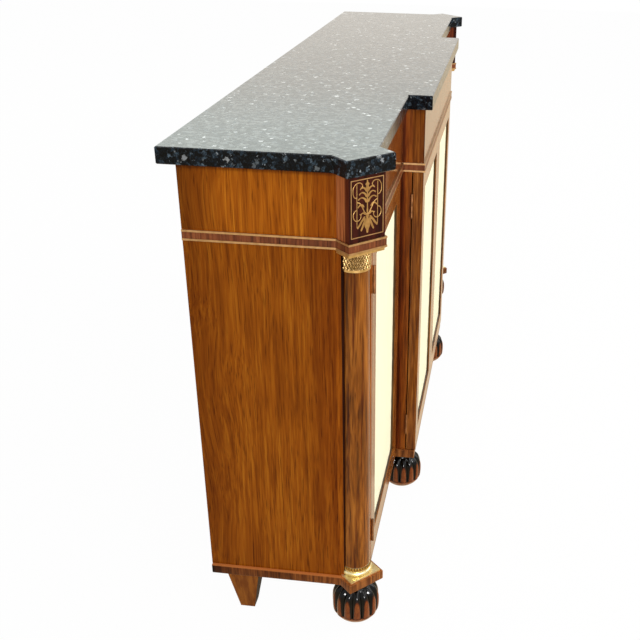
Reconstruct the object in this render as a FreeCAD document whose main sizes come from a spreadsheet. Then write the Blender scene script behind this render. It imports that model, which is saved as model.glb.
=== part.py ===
import FreeCAD
import Part
import Sketcher
import math
import os

# A breakfront chiffonier: a low side cabinet with a stone top, four doors with fabric panels,
# canted corners carrying engaged columns, and gadrooned bun feet.
# Frame: X along the length (left end is -X), -Y is the front, +Z is up.
# The origin is on the floor under the middle of the overall box.

doc = FreeCAD.newDocument("chiffonier")

DIMENSIONS = (
    ("total_height", 920, "floor to the top of the stone"),
    ("carcase_length", 1612, "between the outer faces of the end panels"),
    ("centre_depth", 342, "carcase back to the face of the centre doors"),
    ("centre_width", 711, "width of the centre that stands forward"),
    ("breakfront", 43, "centre face forward of the wing face"),
    ("stone_thickness", 27.5, "stone slab"),
    ("stone_overhang", 11, "stone past the ends, the wing fronts and the sides of the centre"),
    ("centre_overhang", 14, "stone past the centre's face"),
    ("stone_back_overhang", 27, "stone past the back"),
    ("stone_arris", 1.5, "bevel on the stone's edges"),
    ("stone_block_width", 91, "canted face of the stone at a corner"),
    ("stone_block_projection", 40, "stone forward of the corner's canted face"),
    ("foot_height", 92.5, "floor to the underside of the plinth"),
    ("plinth_height", 19.5, "plinth moulding and base board"),
    ("plinth_projection", 6, "plinth past the end panels"),
    ("plinth_return_projection", 4, "plinth past the sides of the centre"),
    ("plinth_setback", 2, "plinth fronts behind the door faces"),
    ("plinth_thickness", 18, "plinth strip, front to back"),
    ("plinth_block_width", 77.5, "plinth block at a corner"),
    ("plinth_block_projection", 31.6, "plinth block forward of the canted face"),
    ("frieze_height", 106.5, "band to the stone"),
    ("frieze_thickness", 18, "wing frieze boards"),
    ("band_height", 18, "band under the frieze, strings included"),
    ("band_projection", 2, "band proud of the frieze"),
    ("string_height", 3.4, "brass string at each edge of the band"),
    ("string_projection", 2.8, "brass string proud of the frieze"),
    ("corner_cant", 42.5, "leg of the canted corner"),
    ("post_width", 55, "corner post along the wing front"),
    ("block_width", 69, "frieze block over a column"),
    ("block_projection", 29.4, "frieze block forward of the canted face"),
    ("inlay_width", 62, "brass border on a block, outside"),
    ("inlay_height", 92, "brass border on a block, outside"),
    ("inlay_rise", 7, "border above the foot of the frieze"),
    ("inlay_line", 1.5, "width of the border line"),
    ("inlay_depth", 0.8, "border let into the block"),
    ("inlay_proud", 0.2, "border standing out of the block"),
    ("abacus_height", 6, "abacus over a capital"),
    ("abacus_width", 70, "abacus along the canted face"),
    ("abacus_projection", 28, "abacus forward of the canted face"),
    ("fillet_height", 2, "fillet on top of the abacus"),
    ("fillet_lip", 1.2, "fillet past the abacus"),
    ("capital_height", 32, "drum of the capital"),
    ("capital_diameter", 50.4, "drum of the capital"),
    ("rim_height", 4, "plain lower rim of the capital"),
    ("rim_diameter", 52, "plain lower rim of the capital"),
    ("column_top_diameter", 48, "column under the capital"),
    ("column_bottom_diameter", 53.5, "column over the base"),
    ("column_setback", 4.5, "column axis behind the canted face"),
    ("base_plate_width", 67, "square brass plate under a column"),
    ("base_plate_projection", 28, "plate forward of the canted face"),
    ("base_plate_height", 3, "plate thickness"),
    ("torus_height", 10, "round moulding on the plate"),
    ("torus_diameter", 62, "round moulding on the plate"),
    ("collar_height", 9, "collar over the round moulding"),
    ("collar_diameter", 56, "collar over the round moulding"),
    ("panel_thickness", 18, "end panels and partitions"),
    ("board_thickness", 16, "top board and shelves"),
    ("back_thickness", 8, "back panels"),
    ("shelf_height", 430, "floor to the underside of the shelves"),
    ("shelf_setback", 10, "wing shelves behind the corner posts"),
    ("batten_size", 14, "square battens under the shelves"),
    ("door_thickness", 21, "doors"),
    ("door_gap", 1.5, "doors to the plinth and to the band"),
    ("meeting_gap", 2, "between closing edges"),
    ("stile_width", 42, "door stiles"),
    ("top_rail", 40, "door top rail"),
    ("bottom_rail", 40, "door bottom rail"),
    ("rebate_width", 8, "rebate behind the sight edge"),
    ("rebate_lip", 5, "wood in front of the fabric"),
    ("bead_width", 4, "bead round the fabric, at its foot"),
    ("bead_land", 1, "bead at its front edge"),
    ("bead_depth", 3, "bead, front to back"),
    ("fabric_thickness", 3, "fabric on its lining"),
    ("fabric_clearance", 0.3, "fabric panel inside the rebate"),
    ("wing_stile_width", 24, "fixed stile beside the centre"),
    ("hinge_gap", 2.4, "gap that holds the two hinge leaves"),
    ("hinge_length", 50, "hinge height"),
    ("hinge_inset", 44, "hinge end to door end"),
    ("leaf_width", 16, "hinge leaf past the knuckle"),
    ("leaf_thickness", 1.1, "hinge leaf"),
    ("knuckle_diameter", 5, "hinge knuckle"),
    ("knuckle_offset", 2.7, "hinge axis in front of the joint's face"),
    ("knuckle_gap", 0.3, "between knuckles"),
    ("pin_diameter", 2.6, "hinge pin"),
    ("pin_clearance", 0.05, "round a pin"),
    ("foot_diameter", 91, "bun foot over the lobes"),
    ("groove_depth", 4.4, "groove between lobes"),
    ("foot_neck_diameter", 54, "dark neck of a bun foot"),
    ("corner_foot_setback", 4.8, "corner foot axis behind the canted face"),
    ("centre_foot_inset", 35.5, "centre foot axis inside the centre's side"),
    ("centre_foot_setback", 34, "centre foot axis behind the centre's face"),
    ("rear_foot_top", 60, "square head of a rear foot"),
    ("rear_foot_bottom", 28, "square toe of a rear foot"),
    ("rear_foot_setback", 60, "rear foot axis in front of the back"),
    ("rear_foot_inset", 27, "rear foot axis inside the end"),
    ("bolt_diameter", 7, "flush bolts in the left centre door"),
    ("bolt_length", 80, "flush bolts"),
    ("bolt_throw", 14, "travel of a flush bolt"),
    ("bolt_cover", 8, "bolt axis inside the door's back"),
    ("bolt_inset", 1, "withdrawn bolt inside the door's end"),
    ("thumb_width", 6, "thumb piece of a bolt"),
    ("thumb_length", 10, "thumb piece of a bolt"),
    ("thumb_projection", 3, "thumb piece proud of the door's back"),
    ("slide_clearance", 0.3, "round sliding pieces"),
    ("lock_depth", 26, "lock case, into the stile"),
    ("lock_height", 45, "lock case"),
    ("lock_thickness", 10, "lock case"),
    ("lock_bolt_length", 16, "lock bolt"),
    ("lock_bolt_height", 14, "lock bolt"),
    ("lock_bolt_thickness", 6, "lock bolt"),
    ("lock_bolt_inset", 0.5, "withdrawn lock bolt inside the door's edge"),
    ("lock_throw", 9, "travel of a lock bolt"),
)
LOBES = 14
CHORDS_PER_LOBE = 3
TORUS_CHORDS = 4
SIDES = (("left", -1), ("right", 1))

sheet = doc.addObject("Spreadsheet::Sheet", "Dims")
for row, (alias, value, note) in enumerate(DIMENSIONS, start=1):
    sheet.set(f"A{row}", note)
    sheet.set(f"B{row}", str(value))
    sheet.setAlias(f"B{row}", alias)
doc.recompute()

# Levels and planes that several pieces share.
STONE_BACK = "((Dims.stone_back_overhang + Dims.centre_depth + Dims.centre_overhang) / 2)"
BACK = f"({STONE_BACK} - Dims.stone_back_overhang)"
FACE = f"({BACK} - Dims.centre_depth)"
WING = f"({FACE} + Dims.breakfront)"
END = "(Dims.carcase_length / 2)"
CENTRE = "(Dims.centre_width / 2)"
STONE_FOOT = "(Dims.total_height - Dims.stone_thickness)"
FRIEZE_FOOT = f"({STONE_FOOT} - Dims.frieze_height)"
BAND_FOOT = f"({FRIEZE_FOOT} - Dims.band_height)"
PLINTH_FOOT = "Dims.foot_height"
PLINTH_TOP = "(Dims.foot_height + Dims.plinth_height)"
DOOR_FOOT = f"({PLINTH_TOP} + Dims.door_gap)"
DOOR_TOP = f"({BAND_FOOT} - Dims.door_gap)"
BOARD_FOOT = f"({STONE_FOOT} - Dims.board_thickness)"
END_INNER = f"({END} - Dims.panel_thickness)"
POST_INNER = f"({END} - Dims.post_width)"
POST_BACK = f"({WING} + Dims.corner_cant)"
PARTITION_INNER = f"({CENTRE} - Dims.panel_thickness)"
PARTITION_FRONT = f"({FACE} + Dims.door_thickness + Dims.hinge_gap)"
BACK_INNER = f"({BACK} - Dims.back_thickness)"
WING_FRIEZE_BACK = f"({WING} + Dims.frieze_thickness)"
CANT_X = f"({END} - Dims.corner_cant / 2)"
CANT_Y = f"({WING} + Dims.corner_cant / 2)"
WING_EDGE = f"({CENTRE} + Dims.wing_stile_width)"
BOLT_X = "(Dims.meeting_gap / 2 + Dims.stile_width / 2)"
BOLT_Y = f"({FACE} + Dims.door_thickness - Dims.bolt_cover)"
SPARE = "2"


def bind(feature, **expressions):
    """Bind properties to expressions; x, y and z are the place of the piece."""
    for name, expression in expressions.items():
        path = f"Placement.Base.{name}" if name in "xyz" else name
        feature.setExpression(path, expression)
    return feature


def turned(feature, axis, angle):
    """Turn a piece about an axis through its own origin."""
    feature.Placement = FreeCAD.Placement(FreeCAD.Vector(), FreeCAD.Rotation(axis, angle))
    return feature


def box(label, x0, x1, y0, y1, z0, z1):
    """A board between three pairs of planes."""
    solid = doc.addObject("Part::Box", label)
    bind(solid, Length=f"({x1}) - ({x0})", Width=f"({y1}) - ({y0})", Height=f"({z1}) - ({z0})")
    return bind(solid, x=x0, y=y0, z=z0)


def span(side, low, high):
    """Two distances out from the middle as bounds along X on one side."""
    if side > 0:
        return low, high
    return f"-({high})", f"-({low})"


def side_box(label, side, low, high, y0, y1, z0, z1):
    """A board on one side of the cabinet, measured out from the middle."""
    return box(label, *span(side, low, high), y0, y1, z0, z1)


def cylinder(label, radius, length, x, y, z):
    """An upright cylinder with its foot at a point."""
    return bind(doc.addObject("Part::Cylinder", label), Radius=radius, Height=length, x=x, y=y, z=z)


def cut(label, base, *tools):
    """Take tools out of a piece one after another."""
    for number, tool in enumerate(tools, start=1):
        last = number == len(tools)
        result = doc.addObject("Part::Cut", label if last else f"{label}_cut{number}")
        result.Base = base
        result.Tool = tool
        base = result
    return base


def fuse(label, *members):
    """One solid from several that meet."""
    result = doc.addObject("Part::MultiFuse", label)
    result.Shapes = list(members)
    return result


def group(label, *members):
    """Separate solids kept under one name."""
    result = doc.addObject("Part::Compound", label)
    result.Links = list(members)
    return result


def sided(side, points):
    """Plan points measured out from the middle, on one side."""
    if side > 0:
        return points
    return [(f"-({x})", y) for x, y in points]


def both_sides(points):
    """A right-hand run of plan points followed by its mirror image."""
    return points + [(f"-({x})", y) for x, y in reversed(points)]


def profile(body, role, points):
    """A closed polygon sketch on one of a body's own planes, with its corners bound to the sheet."""
    plane = next(item for item in body.Origin.OriginFeatures if item.Role == role)
    sketch = body.newObject("Sketcher::SketchObject", f"{body.Label}_profile")
    sketch.AttachmentSupport = [(plane, "")]
    sketch.MapMode = "FlatFace"
    count = len(points)
    turns = [2 * math.pi * i / count for i in range(count)]
    ring = [FreeCAD.Vector(math.cos(turn), math.sin(turn), 0) for turn in turns]
    for i in range(count):
        sketch.addGeometry(Part.LineSegment(ring[i], ring[(i + 1) % count]))
    for i in range(count):
        sketch.addConstraint(Sketcher.Constraint("Coincident", i, 2, (i + 1) % count, 1))
    for i, (x, y) in enumerate(points):
        for kind, expression, start in (("DistanceX", x, ring[i].x), ("DistanceY", y, ring[i].y)):
            index = sketch.addConstraint(Sketcher.Constraint(kind, -1, 1, i, 1, start))
            sketch.setExpression(f"Constraints[{index}]", expression)
    return sketch


def slab(label, points, low, high):
    """A board with a polygonal plan."""
    body = doc.addObject("PartDesign::Body", label)
    pad = body.newObject("PartDesign::Pad", f"{label}_pad")
    pad.Profile = profile(body, "XY_Plane", points)
    pad.setExpression("Length", f"({high}) - ({low})")
    return bind(body, z=low)


def turning(label, points):
    """A piece turned about its own upright axis; the points are radius and height up its outside."""
    body = doc.addObject("PartDesign::Body", label)
    sketch = profile(body, "XZ_Plane", [("0", points[0][1])] + points + [("0", points[-1][1])])
    revolution = body.newObject("PartDesign::Revolution", f"{label}_turned")
    revolution.Profile = sketch
    revolution.ReferenceAxis = (sketch, ["V_Axis"])
    revolution.Angle = 360
    return body


def corner_points(width, projection, end, wing):
    """Plan of a block set square on the canted corner, from the end line to the wing line."""
    out = f"({projection}) / sqrt(2)"
    half = f"({width}) / 2 / sqrt(2)"
    outer_x = f"({CANT_X} + {out} + {half})"
    outer_y = f"({CANT_Y} - {out} + {half})"
    inner_x = f"({CANT_X} + {out} - {half})"
    inner_y = f"({CANT_Y} - {out} - {half})"
    on_end = (end, f"{outer_y} + {outer_x} - ({end})")
    on_wing = (f"{inner_x} - ({wing}) + {inner_y}", wing)
    return [on_end, (outer_x, outer_y), (inner_x, inner_y), on_wing]


def corner_block(label, side, width, projection, z0, z1):
    """A block that wraps the canted corner of the carcase."""
    cant = [(f"{END} - Dims.corner_cant", WING), (END, POST_BACK)]
    return slab(label, sided(side, corner_points(width, projection, END, WING) + cant), z0, z1)


def front_line(end, wing, side_x, centre, width, projection, back):
    """Plan line round the ends, the corner blocks and the breakfront."""
    right = [(end, back)] + corner_points(width, projection, end, wing)
    return both_sides(right + [(side_x, wing), (side_x, centre)])


def carcase_line(proud):
    """Plan line of the frieze, or of a moulding standing proud of it."""
    return front_line(f"{END} + {proud}", f"{WING} - {proud}", f"{CENTRE} + {proud}", f"{FACE} - {proud}",
                      f"Dims.block_width + 2 * {proud}", f"Dims.block_projection + {proud}", BACK)


def moulding(label, proud, low, high):
    """A strip round the frieze line."""
    return slab(label, carcase_line(proud) + carcase_line("0")[::-1], low, high)


def on_cant(feature, side):
    """Set a piece made about the canted face's middle on its corner; -Y is outwards."""
    turned(feature, FreeCAD.Vector(0, 0, 1), 45 * side)
    return bind(feature, x=CANT_X if side > 0 else f"-{CANT_X}", y=CANT_Y)


def half_round(label, side, points):
    """The part of a turning that stands in front of the canted face; its axis is behind that face."""
    whole = bind(turning(f"{label}_round", points), y="Dims.column_setback")
    behind = box(f"{label}_behind", "-Dims.foot_diameter", "Dims.foot_diameter", "0", "Dims.foot_diameter",
                 "0", "Dims.total_height")
    return on_cant(cut(label, whole, behind), side)


# The stone top, with its arrises bevelled.
stone_line = front_line(f"{END} + Dims.stone_overhang", f"{WING} - Dims.stone_overhang",
                        f"{CENTRE} + Dims.stone_overhang", f"{FACE} - Dims.centre_overhang",
                        "Dims.stone_block_width", "Dims.stone_block_projection", STONE_BACK)
stone_top = slab("stone_top", stone_line, STONE_FOOT, "Dims.total_height")
doc.recompute()
stone_pad = stone_top.Tip
arris = stone_top.newObject("PartDesign::Chamfer", "stone_edge")
arris.Base = (stone_pad, [f"Face{i}" for i, face in enumerate(stone_pad.Shape.Faces, start=1)
                          if abs(face.normalAt(0, 0).z) > 0.9])
bind(arris, Size="Dims.stone_arris")
nodes = [stone_top]

# Boards of the carcase.
BASE_X = f"{END} + Dims.plinth_projection - Dims.plinth_thickness"
BASE_WING = f"{WING} + Dims.plinth_setback + Dims.plinth_thickness"
BASE_SIDE = f"{CENTRE} + Dims.plinth_return_projection - Dims.plinth_thickness"
BASE_FACE = f"{FACE} + Dims.plinth_setback + Dims.plinth_thickness"
base_line = [(BASE_X, BACK), (BASE_X, BASE_WING), (BASE_SIDE, BASE_WING), (BASE_SIDE, BASE_FACE)]
nodes.append(slab("base_board", both_sides(base_line), PLINTH_FOOT, PLINTH_TOP))
top_line = [(END_INNER, BACK_INNER), (END_INNER, POST_BACK), (POST_INNER, POST_BACK),
            (POST_INNER, WING_FRIEZE_BACK), (PARTITION_INNER, WING_FRIEZE_BACK),
            (PARTITION_INNER, PARTITION_FRONT)]
nodes.append(slab("top_board", both_sides(top_line), BOARD_FOOT, STONE_FOOT))
PARTITION_MIDDLE = f"({CENTRE} - Dims.panel_thickness / 2)"
back_boards = [side_box(f"back_{name}", side, PARTITION_MIDDLE, END_INNER, BACK_INNER, BACK,
                        PLINTH_TOP, STONE_FOOT) for name, side in SIDES]
back_boards.append(box("back_centre", f"-{PARTITION_MIDDLE}", PARTITION_MIDDLE, BACK_INNER, BACK,
                       PLINTH_TOP, STONE_FOOT))
nodes.append(group("back_panels", *back_boards))

wing_stiles = []
LOCK_Z = f"(({DOOR_FOOT} + {DOOR_TOP}) / 2)"


def lock_box(label, face, side, low, high, thickness, height):
    """A piece of a lock, centred in the door's thickness and height."""
    middle = f"({face} + Dims.door_thickness / 2)"
    return side_box(label, side, low, high, f"{middle} - ({thickness}) / 2", f"{middle} + ({thickness}) / 2",
                    f"{LOCK_Z} - ({height}) / 2", f"{LOCK_Z} + ({height}) / 2")


BOLT_ROOM = "Dims.lock_bolt_thickness + 2 * Dims.slide_clearance"
BOLT_RISE = "Dims.lock_bolt_height + 2 * Dims.slide_clearance"
for name, side in SIDES:
    nodes.append(side_box(f"end_panel_{name}", side, END_INNER, END, POST_BACK, BACK, PLINTH_TOP, STONE_FOOT))
    lower = side_box(f"partition_{name}_board", side, PARTITION_INNER, CENTRE, PARTITION_FRONT, BACK_INNER,
                     PLINTH_TOP, BOARD_FOOT)
    upper = side_box(f"partition_{name}_head", side, PARTITION_INNER, CENTRE, PARTITION_FRONT,
                     WING_FRIEZE_BACK, BOARD_FOOT, STONE_FOOT)
    nodes.append(fuse(f"partition_{name}", lower, upper))
    post_line = [(END, POST_BACK), (f"{END} - Dims.corner_cant", WING), (POST_INNER, WING),
                 (POST_INNER, POST_BACK)]
    nodes.append(slab(f"corner_post_{name}", sided(side, post_line), PLINTH_TOP, STONE_FOOT))
    stile = side_box(f"wing_stile_{name}_board", side, CENTRE, WING_EDGE,
                     WING, f"{WING} + Dims.door_thickness", PLINTH_TOP, BAND_FOOT)
    keep = lock_box(f"wing_stile_{name}_keep", WING, side, f"{WING_EDGE} - Dims.lock_throw",
                    f"{WING_EDGE} + {SPARE}", BOLT_ROOM, BOLT_RISE)
    wing_stiles.append(cut(f"wing_stile_{name}", stile, keep))
    nodes.append(side_box(f"frieze_{name}", side, CENTRE, POST_INNER, WING, WING_FRIEZE_BACK,
                          BAND_FOOT, STONE_FOOT))
nodes.append(group("wing_stiles", *wing_stiles))

# The centre frieze takes the upper flush bolt.
centre_board = box("frieze_centre_board", f"-{CENTRE}", CENTRE, FACE, PARTITION_FRONT, BAND_FOOT, STONE_FOOT)
BOLT_HOLE = "Dims.bolt_diameter / 2 + Dims.slide_clearance"
upper_hole = cylinder("frieze_centre_hole", BOLT_HOLE, f"Dims.bolt_throw + {SPARE}", f"-{BOLT_X}", BOLT_Y,
                      f"{BAND_FOOT} - {SPARE}")
nodes.append(cut("frieze_centre", centre_board, upper_hole))

# Band and brass strings round the foot of the frieze.
STRING_IN = "Dims.string_height"
nodes.append(moulding("frieze_band", "Dims.band_projection", f"{BAND_FOOT} + {STRING_IN}",
                      f"{FRIEZE_FOOT} - {STRING_IN}"))
lower_string = moulding("string_lower", "Dims.string_projection", BAND_FOOT, f"{BAND_FOOT} + {STRING_IN}")
upper_string = moulding("string_upper", "Dims.string_projection", f"{FRIEZE_FOOT} - {STRING_IN}", FRIEZE_FOOT)
nodes.append(group("brass_strings", lower_string, upper_string))

# Corners: frieze block with its brass border, capital, column and base.
ABACUS_FOOT = f"({BAND_FOOT} - Dims.abacus_height)"
CAPITAL_FOOT = f"({ABACUS_FOOT} - Dims.capital_height)"
PLATE_TOP = f"({PLINTH_TOP} + Dims.base_plate_height)"
TORUS_TOP = f"({PLATE_TOP} + Dims.torus_height)"
COLUMN_FOOT = f"({TORUS_TOP} + Dims.collar_height)"
# The round moulding's half circle is drawn with a few chords.
torus_angles = [math.pi * (step / TORUS_CHORDS - 0.5) for step in range(TORUS_CHORDS + 1)]
torus_points = [(f"Dims.torus_diameter / 2 + Dims.torus_height / 2 * {math.cos(angle) - 1}",
                 f"{PLATE_TOP} + Dims.torus_height / 2 * {math.sin(angle) + 1}") for angle in torus_angles]
borders = []
for name, side in SIDES:
    inlay_foot = f"({FRIEZE_FOOT} + Dims.inlay_rise)"
    inlay_y = ("-Dims.block_projection - Dims.inlay_proud", "-Dims.block_projection + Dims.inlay_depth")
    outside = box(f"inlay_{name}_outside", "-Dims.inlay_width / 2", "Dims.inlay_width / 2", *inlay_y,
                  inlay_foot, f"{inlay_foot} + Dims.inlay_height")
    inside = box(f"inlay_{name}_inside", "-Dims.inlay_width / 2 + Dims.inlay_line",
                 "Dims.inlay_width / 2 - Dims.inlay_line", f"-Dims.block_projection - {SPARE}",
                 f"-Dims.block_projection + {SPARE}", f"{inlay_foot} + Dims.inlay_line",
                 f"{inlay_foot} + Dims.inlay_height - Dims.inlay_line")
    border = on_cant(cut(f"inlay_{name}", outside, inside), side)
    borders.append(border)
    whole_block = corner_block(f"frieze_block_{name}_whole", side, "Dims.block_width",
                               "Dims.block_projection", BAND_FOOT, STONE_FOOT)
    nodes.append(cut(f"frieze_block_{name}", whole_block, border))

    bell = half_round(f"capital_{name}_bell", side, [
        ("Dims.rim_diameter / 2", CAPITAL_FOOT),
        ("Dims.rim_diameter / 2", f"{CAPITAL_FOOT} + Dims.rim_height"),
        ("Dims.capital_diameter / 2", f"{CAPITAL_FOOT} + Dims.rim_height"),
        ("Dims.capital_diameter / 2", ABACUS_FOOT)])
    abacus_head = f"{BAND_FOOT} - Dims.fillet_height"
    abacus = corner_block(f"capital_{name}_abacus", side, "Dims.abacus_width", "Dims.abacus_projection",
                          ABACUS_FOOT, abacus_head)
    fillet = corner_block(f"capital_{name}_fillet", side, "Dims.abacus_width + 2 * Dims.fillet_lip",
                          "Dims.abacus_projection + Dims.fillet_lip", abacus_head, BAND_FOOT)
    nodes.append(fuse(f"capital_{name}", bell, abacus, fillet))

    nodes.append(half_round(f"column_{name}", side, [
        ("Dims.column_bottom_diameter / 2", COLUMN_FOOT), ("Dims.column_top_diameter / 2", CAPITAL_FOOT)]))

    plate = corner_block(f"column_base_{name}_plate", side, "Dims.base_plate_width",
                         "Dims.base_plate_projection", PLINTH_TOP, PLATE_TOP)
    ring_half = half_round(f"column_base_{name}_ring", side, torus_points + [
        ("Dims.collar_diameter / 2", TORUS_TOP), ("Dims.collar_diameter / 2", COLUMN_FOOT)])
    nodes.append(fuse(f"column_base_{name}", plate, ring_half))
nodes.append(group("inlay_borders", *borders))

# Plinth: two wing lengths with their corner blocks, and the centre length with its returns.
PLINTH_X = f"({END} + Dims.plinth_projection)"
PLINTH_WING = f"({WING} + Dims.plinth_setback)"
PLINTH_SIDE = f"({CENTRE} + Dims.plinth_return_projection)"
PLINTH_FACE = f"({FACE} + Dims.plinth_setback)"
wing_plinth = [(PLINTH_X, BACK)]
wing_plinth += corner_points("Dims.plinth_block_width", "Dims.plinth_block_projection", PLINTH_X, PLINTH_WING)
wing_plinth += [(PLINTH_SIDE, PLINTH_WING), (PLINTH_SIDE, BASE_WING), (BASE_X, BASE_WING), (BASE_X, BACK)]
for name, side in SIDES:
    nodes.append(slab(f"plinth_{name}", sided(side, wing_plinth), PLINTH_FOOT, PLINTH_TOP))
centre_plinth = [(BASE_SIDE, BASE_FACE), (BASE_SIDE, BASE_WING), (PLINTH_SIDE, BASE_WING),
                 (PLINTH_SIDE, PLINTH_FACE)]
centre_strip = slab("plinth_centre_strip", both_sides(centre_plinth), PLINTH_FOOT, PLINTH_TOP)
lower_hole = cylinder("plinth_centre_hole", BOLT_HOLE, f"Dims.bolt_throw + {SPARE}", f"-{BOLT_X}", BOLT_Y,
                      f"{PLINTH_TOP} - Dims.bolt_throw")
nodes.append(cut("plinth_centre", centre_strip, lower_hole))

# Gadrooned bun feet: a swollen bulb of upright lobes between a plain toe and a neck.
# Each ring is a share of the foot's height and of its greatest radius.
FOOT_PROFILE = ((0.05, 0.64), (0.14, 0.86), (0.29, 0.97), (0.47, 1.00), (0.63, 0.96), (0.77, 0.82),
                (0.87, 0.64))
foot_radius = sheet.get("foot_diameter") / 2
foot_height = sheet.get("foot_height")
groove_depth = sheet.get("groove_depth")


def lobed_ring(rise, swell):
    """Corners of a ring of lobes, each an arc between two grooves drawn with a few chords."""
    def point(radius, turn):
        return FreeCAD.Vector(radius * math.cos(turn), radius * math.sin(turn), foot_height * rise)

    outer = foot_radius * swell
    inner = (foot_radius - groove_depth) * swell
    pitch = 2 * math.pi / LOBES
    corners = []
    for lobe in range(LOBES):
        start = lobe * pitch
        arc = Part.Arc(point(inner, start), point(outer, start + pitch / 2), point(inner, start + pitch))
        corners += arc.toShape().discretize(CHORDS_PER_LOBE + 1)[:-1]
    return corners


def flat(*corners):
    """A flat face with these corners."""
    return Part.Face(Part.makePolygon(corners + corners[:1]))


# The rings are all one shape at several sizes, so the facets between them are flat.
rings = [lobed_ring(rise, swell) for rise, swell in FOOT_PROFILE]
facets = [flat(*rings[0]), flat(*rings[-1])]
for lower, upper in zip(rings, rings[1:]):
    for i in range(len(lower)):
        facets.append(flat(lower[i - 1], lower[i], upper[i], upper[i - 1]))
bulb = doc.addObject("Part::Feature", "foot_bulb")
bulb.Shape = Part.Solid(Part.Shell(facets))
neck = cylinder("foot_neck", "Dims.foot_neck_diameter / 2", f"Dims.foot_height * {1 - FOOT_PROFILE[-1][0]}",
                "0", "0", f"Dims.foot_height * {FOOT_PROFILE[-1][0]}")
toe = cylinder("foot_toe", f"(Dims.foot_diameter / 2 - Dims.groove_depth) * {FOOT_PROFILE[0][1]}",
               f"Dims.foot_height * {FOOT_PROFILE[0][0]}", "0", "0", "0")
CORNER_FOOT = (f"{CANT_X} - Dims.corner_foot_setback / sqrt(2)",
               f"{CANT_Y} + Dims.corner_foot_setback / sqrt(2)")
CENTRE_FOOT = (f"{CENTRE} - Dims.centre_foot_inset", f"{FACE} + Dims.centre_foot_setback")
for name, side in SIDES:
    for kind, (x, y) in (("front", CORNER_FOOT), ("centre", CENTRE_FOOT)):
        foot = fuse(f"foot_{kind}_{name}", bulb, neck, toe)
        nodes.append(bind(foot, x=x if side > 0 else f"-({x})", y=y))

rear_feet = []
for name, side in SIDES:
    for kind, x in (("end", f"{END} - Dims.rear_foot_inset"), ("inner", CENTRE_FOOT[0])):
        leg = doc.addObject("Part::Wedge", f"foot_rear_{kind}_{name}")
        turned(leg, FreeCAD.Vector(1, 0, 0), 90)
        bind(leg, Ymin="0", Ymax="Dims.foot_height",
             Xmin="-Dims.rear_foot_bottom / 2", Xmax="Dims.rear_foot_bottom / 2",
             Zmin="-Dims.rear_foot_bottom / 2", Zmax="Dims.rear_foot_bottom / 2",
             X2min="-Dims.rear_foot_top / 2", X2max="Dims.rear_foot_top / 2",
             Z2min="-Dims.rear_foot_top / 2", Z2max="Dims.rear_foot_top / 2",
             x=x if side > 0 else f"-({x})", y=f"{BACK} - Dims.rear_foot_setback")
        rear_feet.append(leg)
nodes.append(group("feet_rear", *rear_feet))

# Shelves on battens, one in each bay.
SHELF_TOP = "Dims.shelf_height + Dims.board_thickness"
WING_SHELF_FRONT = f"({POST_BACK} + Dims.shelf_setback)"
CENTRE_SHELF_FRONT = f"({WING_SHELF_FRONT} - Dims.breakfront)"
BATTEN_FOOT = "Dims.shelf_height - Dims.batten_size"
battens = []
for name, side in SIDES:
    nodes.append(side_box(f"shelf_{name}", side, CENTRE, END_INNER, WING_SHELF_FRONT, BACK_INNER,
                          "Dims.shelf_height", SHELF_TOP))
    runs = (("end", f"{END_INNER} - Dims.batten_size", END_INNER, WING_SHELF_FRONT),
            ("outer", CENTRE, f"{CENTRE} + Dims.batten_size", WING_SHELF_FRONT),
            ("inner", f"{PARTITION_INNER} - Dims.batten_size", PARTITION_INNER, CENTRE_SHELF_FRONT))
    for kind, low, high, front in runs:
        battens.append(side_box(f"batten_{kind}_{name}", side, low, high, front, BACK_INNER,
                                BATTEN_FOOT, "Dims.shelf_height"))
nodes.append(box("shelf_centre", f"-{PARTITION_INNER}", PARTITION_INNER, CENTRE_SHELF_FRONT, BACK_INNER,
                 "Dims.shelf_height", SHELF_TOP))
nodes.append(group("shelf_battens", *battens))

# Butt hinges, made about their own axis with the leaves running along +X.
KNUCKLE = "Dims.knuckle_diameter / 2"
THIRD = "((Dims.hinge_length - 2 * Dims.knuckle_gap) / 3)"
LEAF_START = f"{KNUCKLE} + Dims.knuckle_gap"
LEAF_END = f"{LEAF_START} + Dims.leaf_width"
LEAF_FAR = "Dims.hinge_gap / 2"
LEAF_NEAR = "Dims.hinge_gap / 2 - Dims.leaf_thickness"
KNUCKLE_FEET = ("0", f"({THIRD} + Dims.knuckle_gap)", f"(2 * {THIRD} + 2 * Dims.knuckle_gap)")
HINGE_AXES = {"centre": (f"{CENTRE} + Dims.knuckle_offset",
                         f"{FACE} + Dims.door_thickness + Dims.hinge_gap / 2"),
              "wing": (f"{POST_INNER} - Dims.hinge_gap / 2", f"{WING} - Dims.knuckle_offset")}
HINGE_FEET = {"lower": f"{DOOR_FOOT} + Dims.hinge_inset",
              "upper": f"{DOOR_TOP} - Dims.hinge_inset - Dims.hinge_length"}
UPRIGHT = FreeCAD.Vector(0, 0, 1)
OVER = FreeCAD.Rotation(FreeCAD.Vector(0, 1, 0), 180)
HINGE_TURNS = {("centre", -1): FreeCAD.Rotation(), ("centre", 1): OVER,
               ("wing", -1): FreeCAD.Rotation(UPRIGHT, 90),
               ("wing", 1): FreeCAD.Rotation(UPRIGHT, -90).multiply(OVER)}


def knuckle(label, index, y0, y1):
    """One knuckle with the web that joins it to its leaf."""
    foot = KNUCKLE_FEET[index]
    barrel = cylinder(f"{label}_barrel", KNUCKLE, THIRD, "0", "0", foot)
    web = box(f"{label}_web", "0", LEAF_START, y0, y1, foot, f"{foot} + {THIRD}")
    return [barrel, web]


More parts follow.
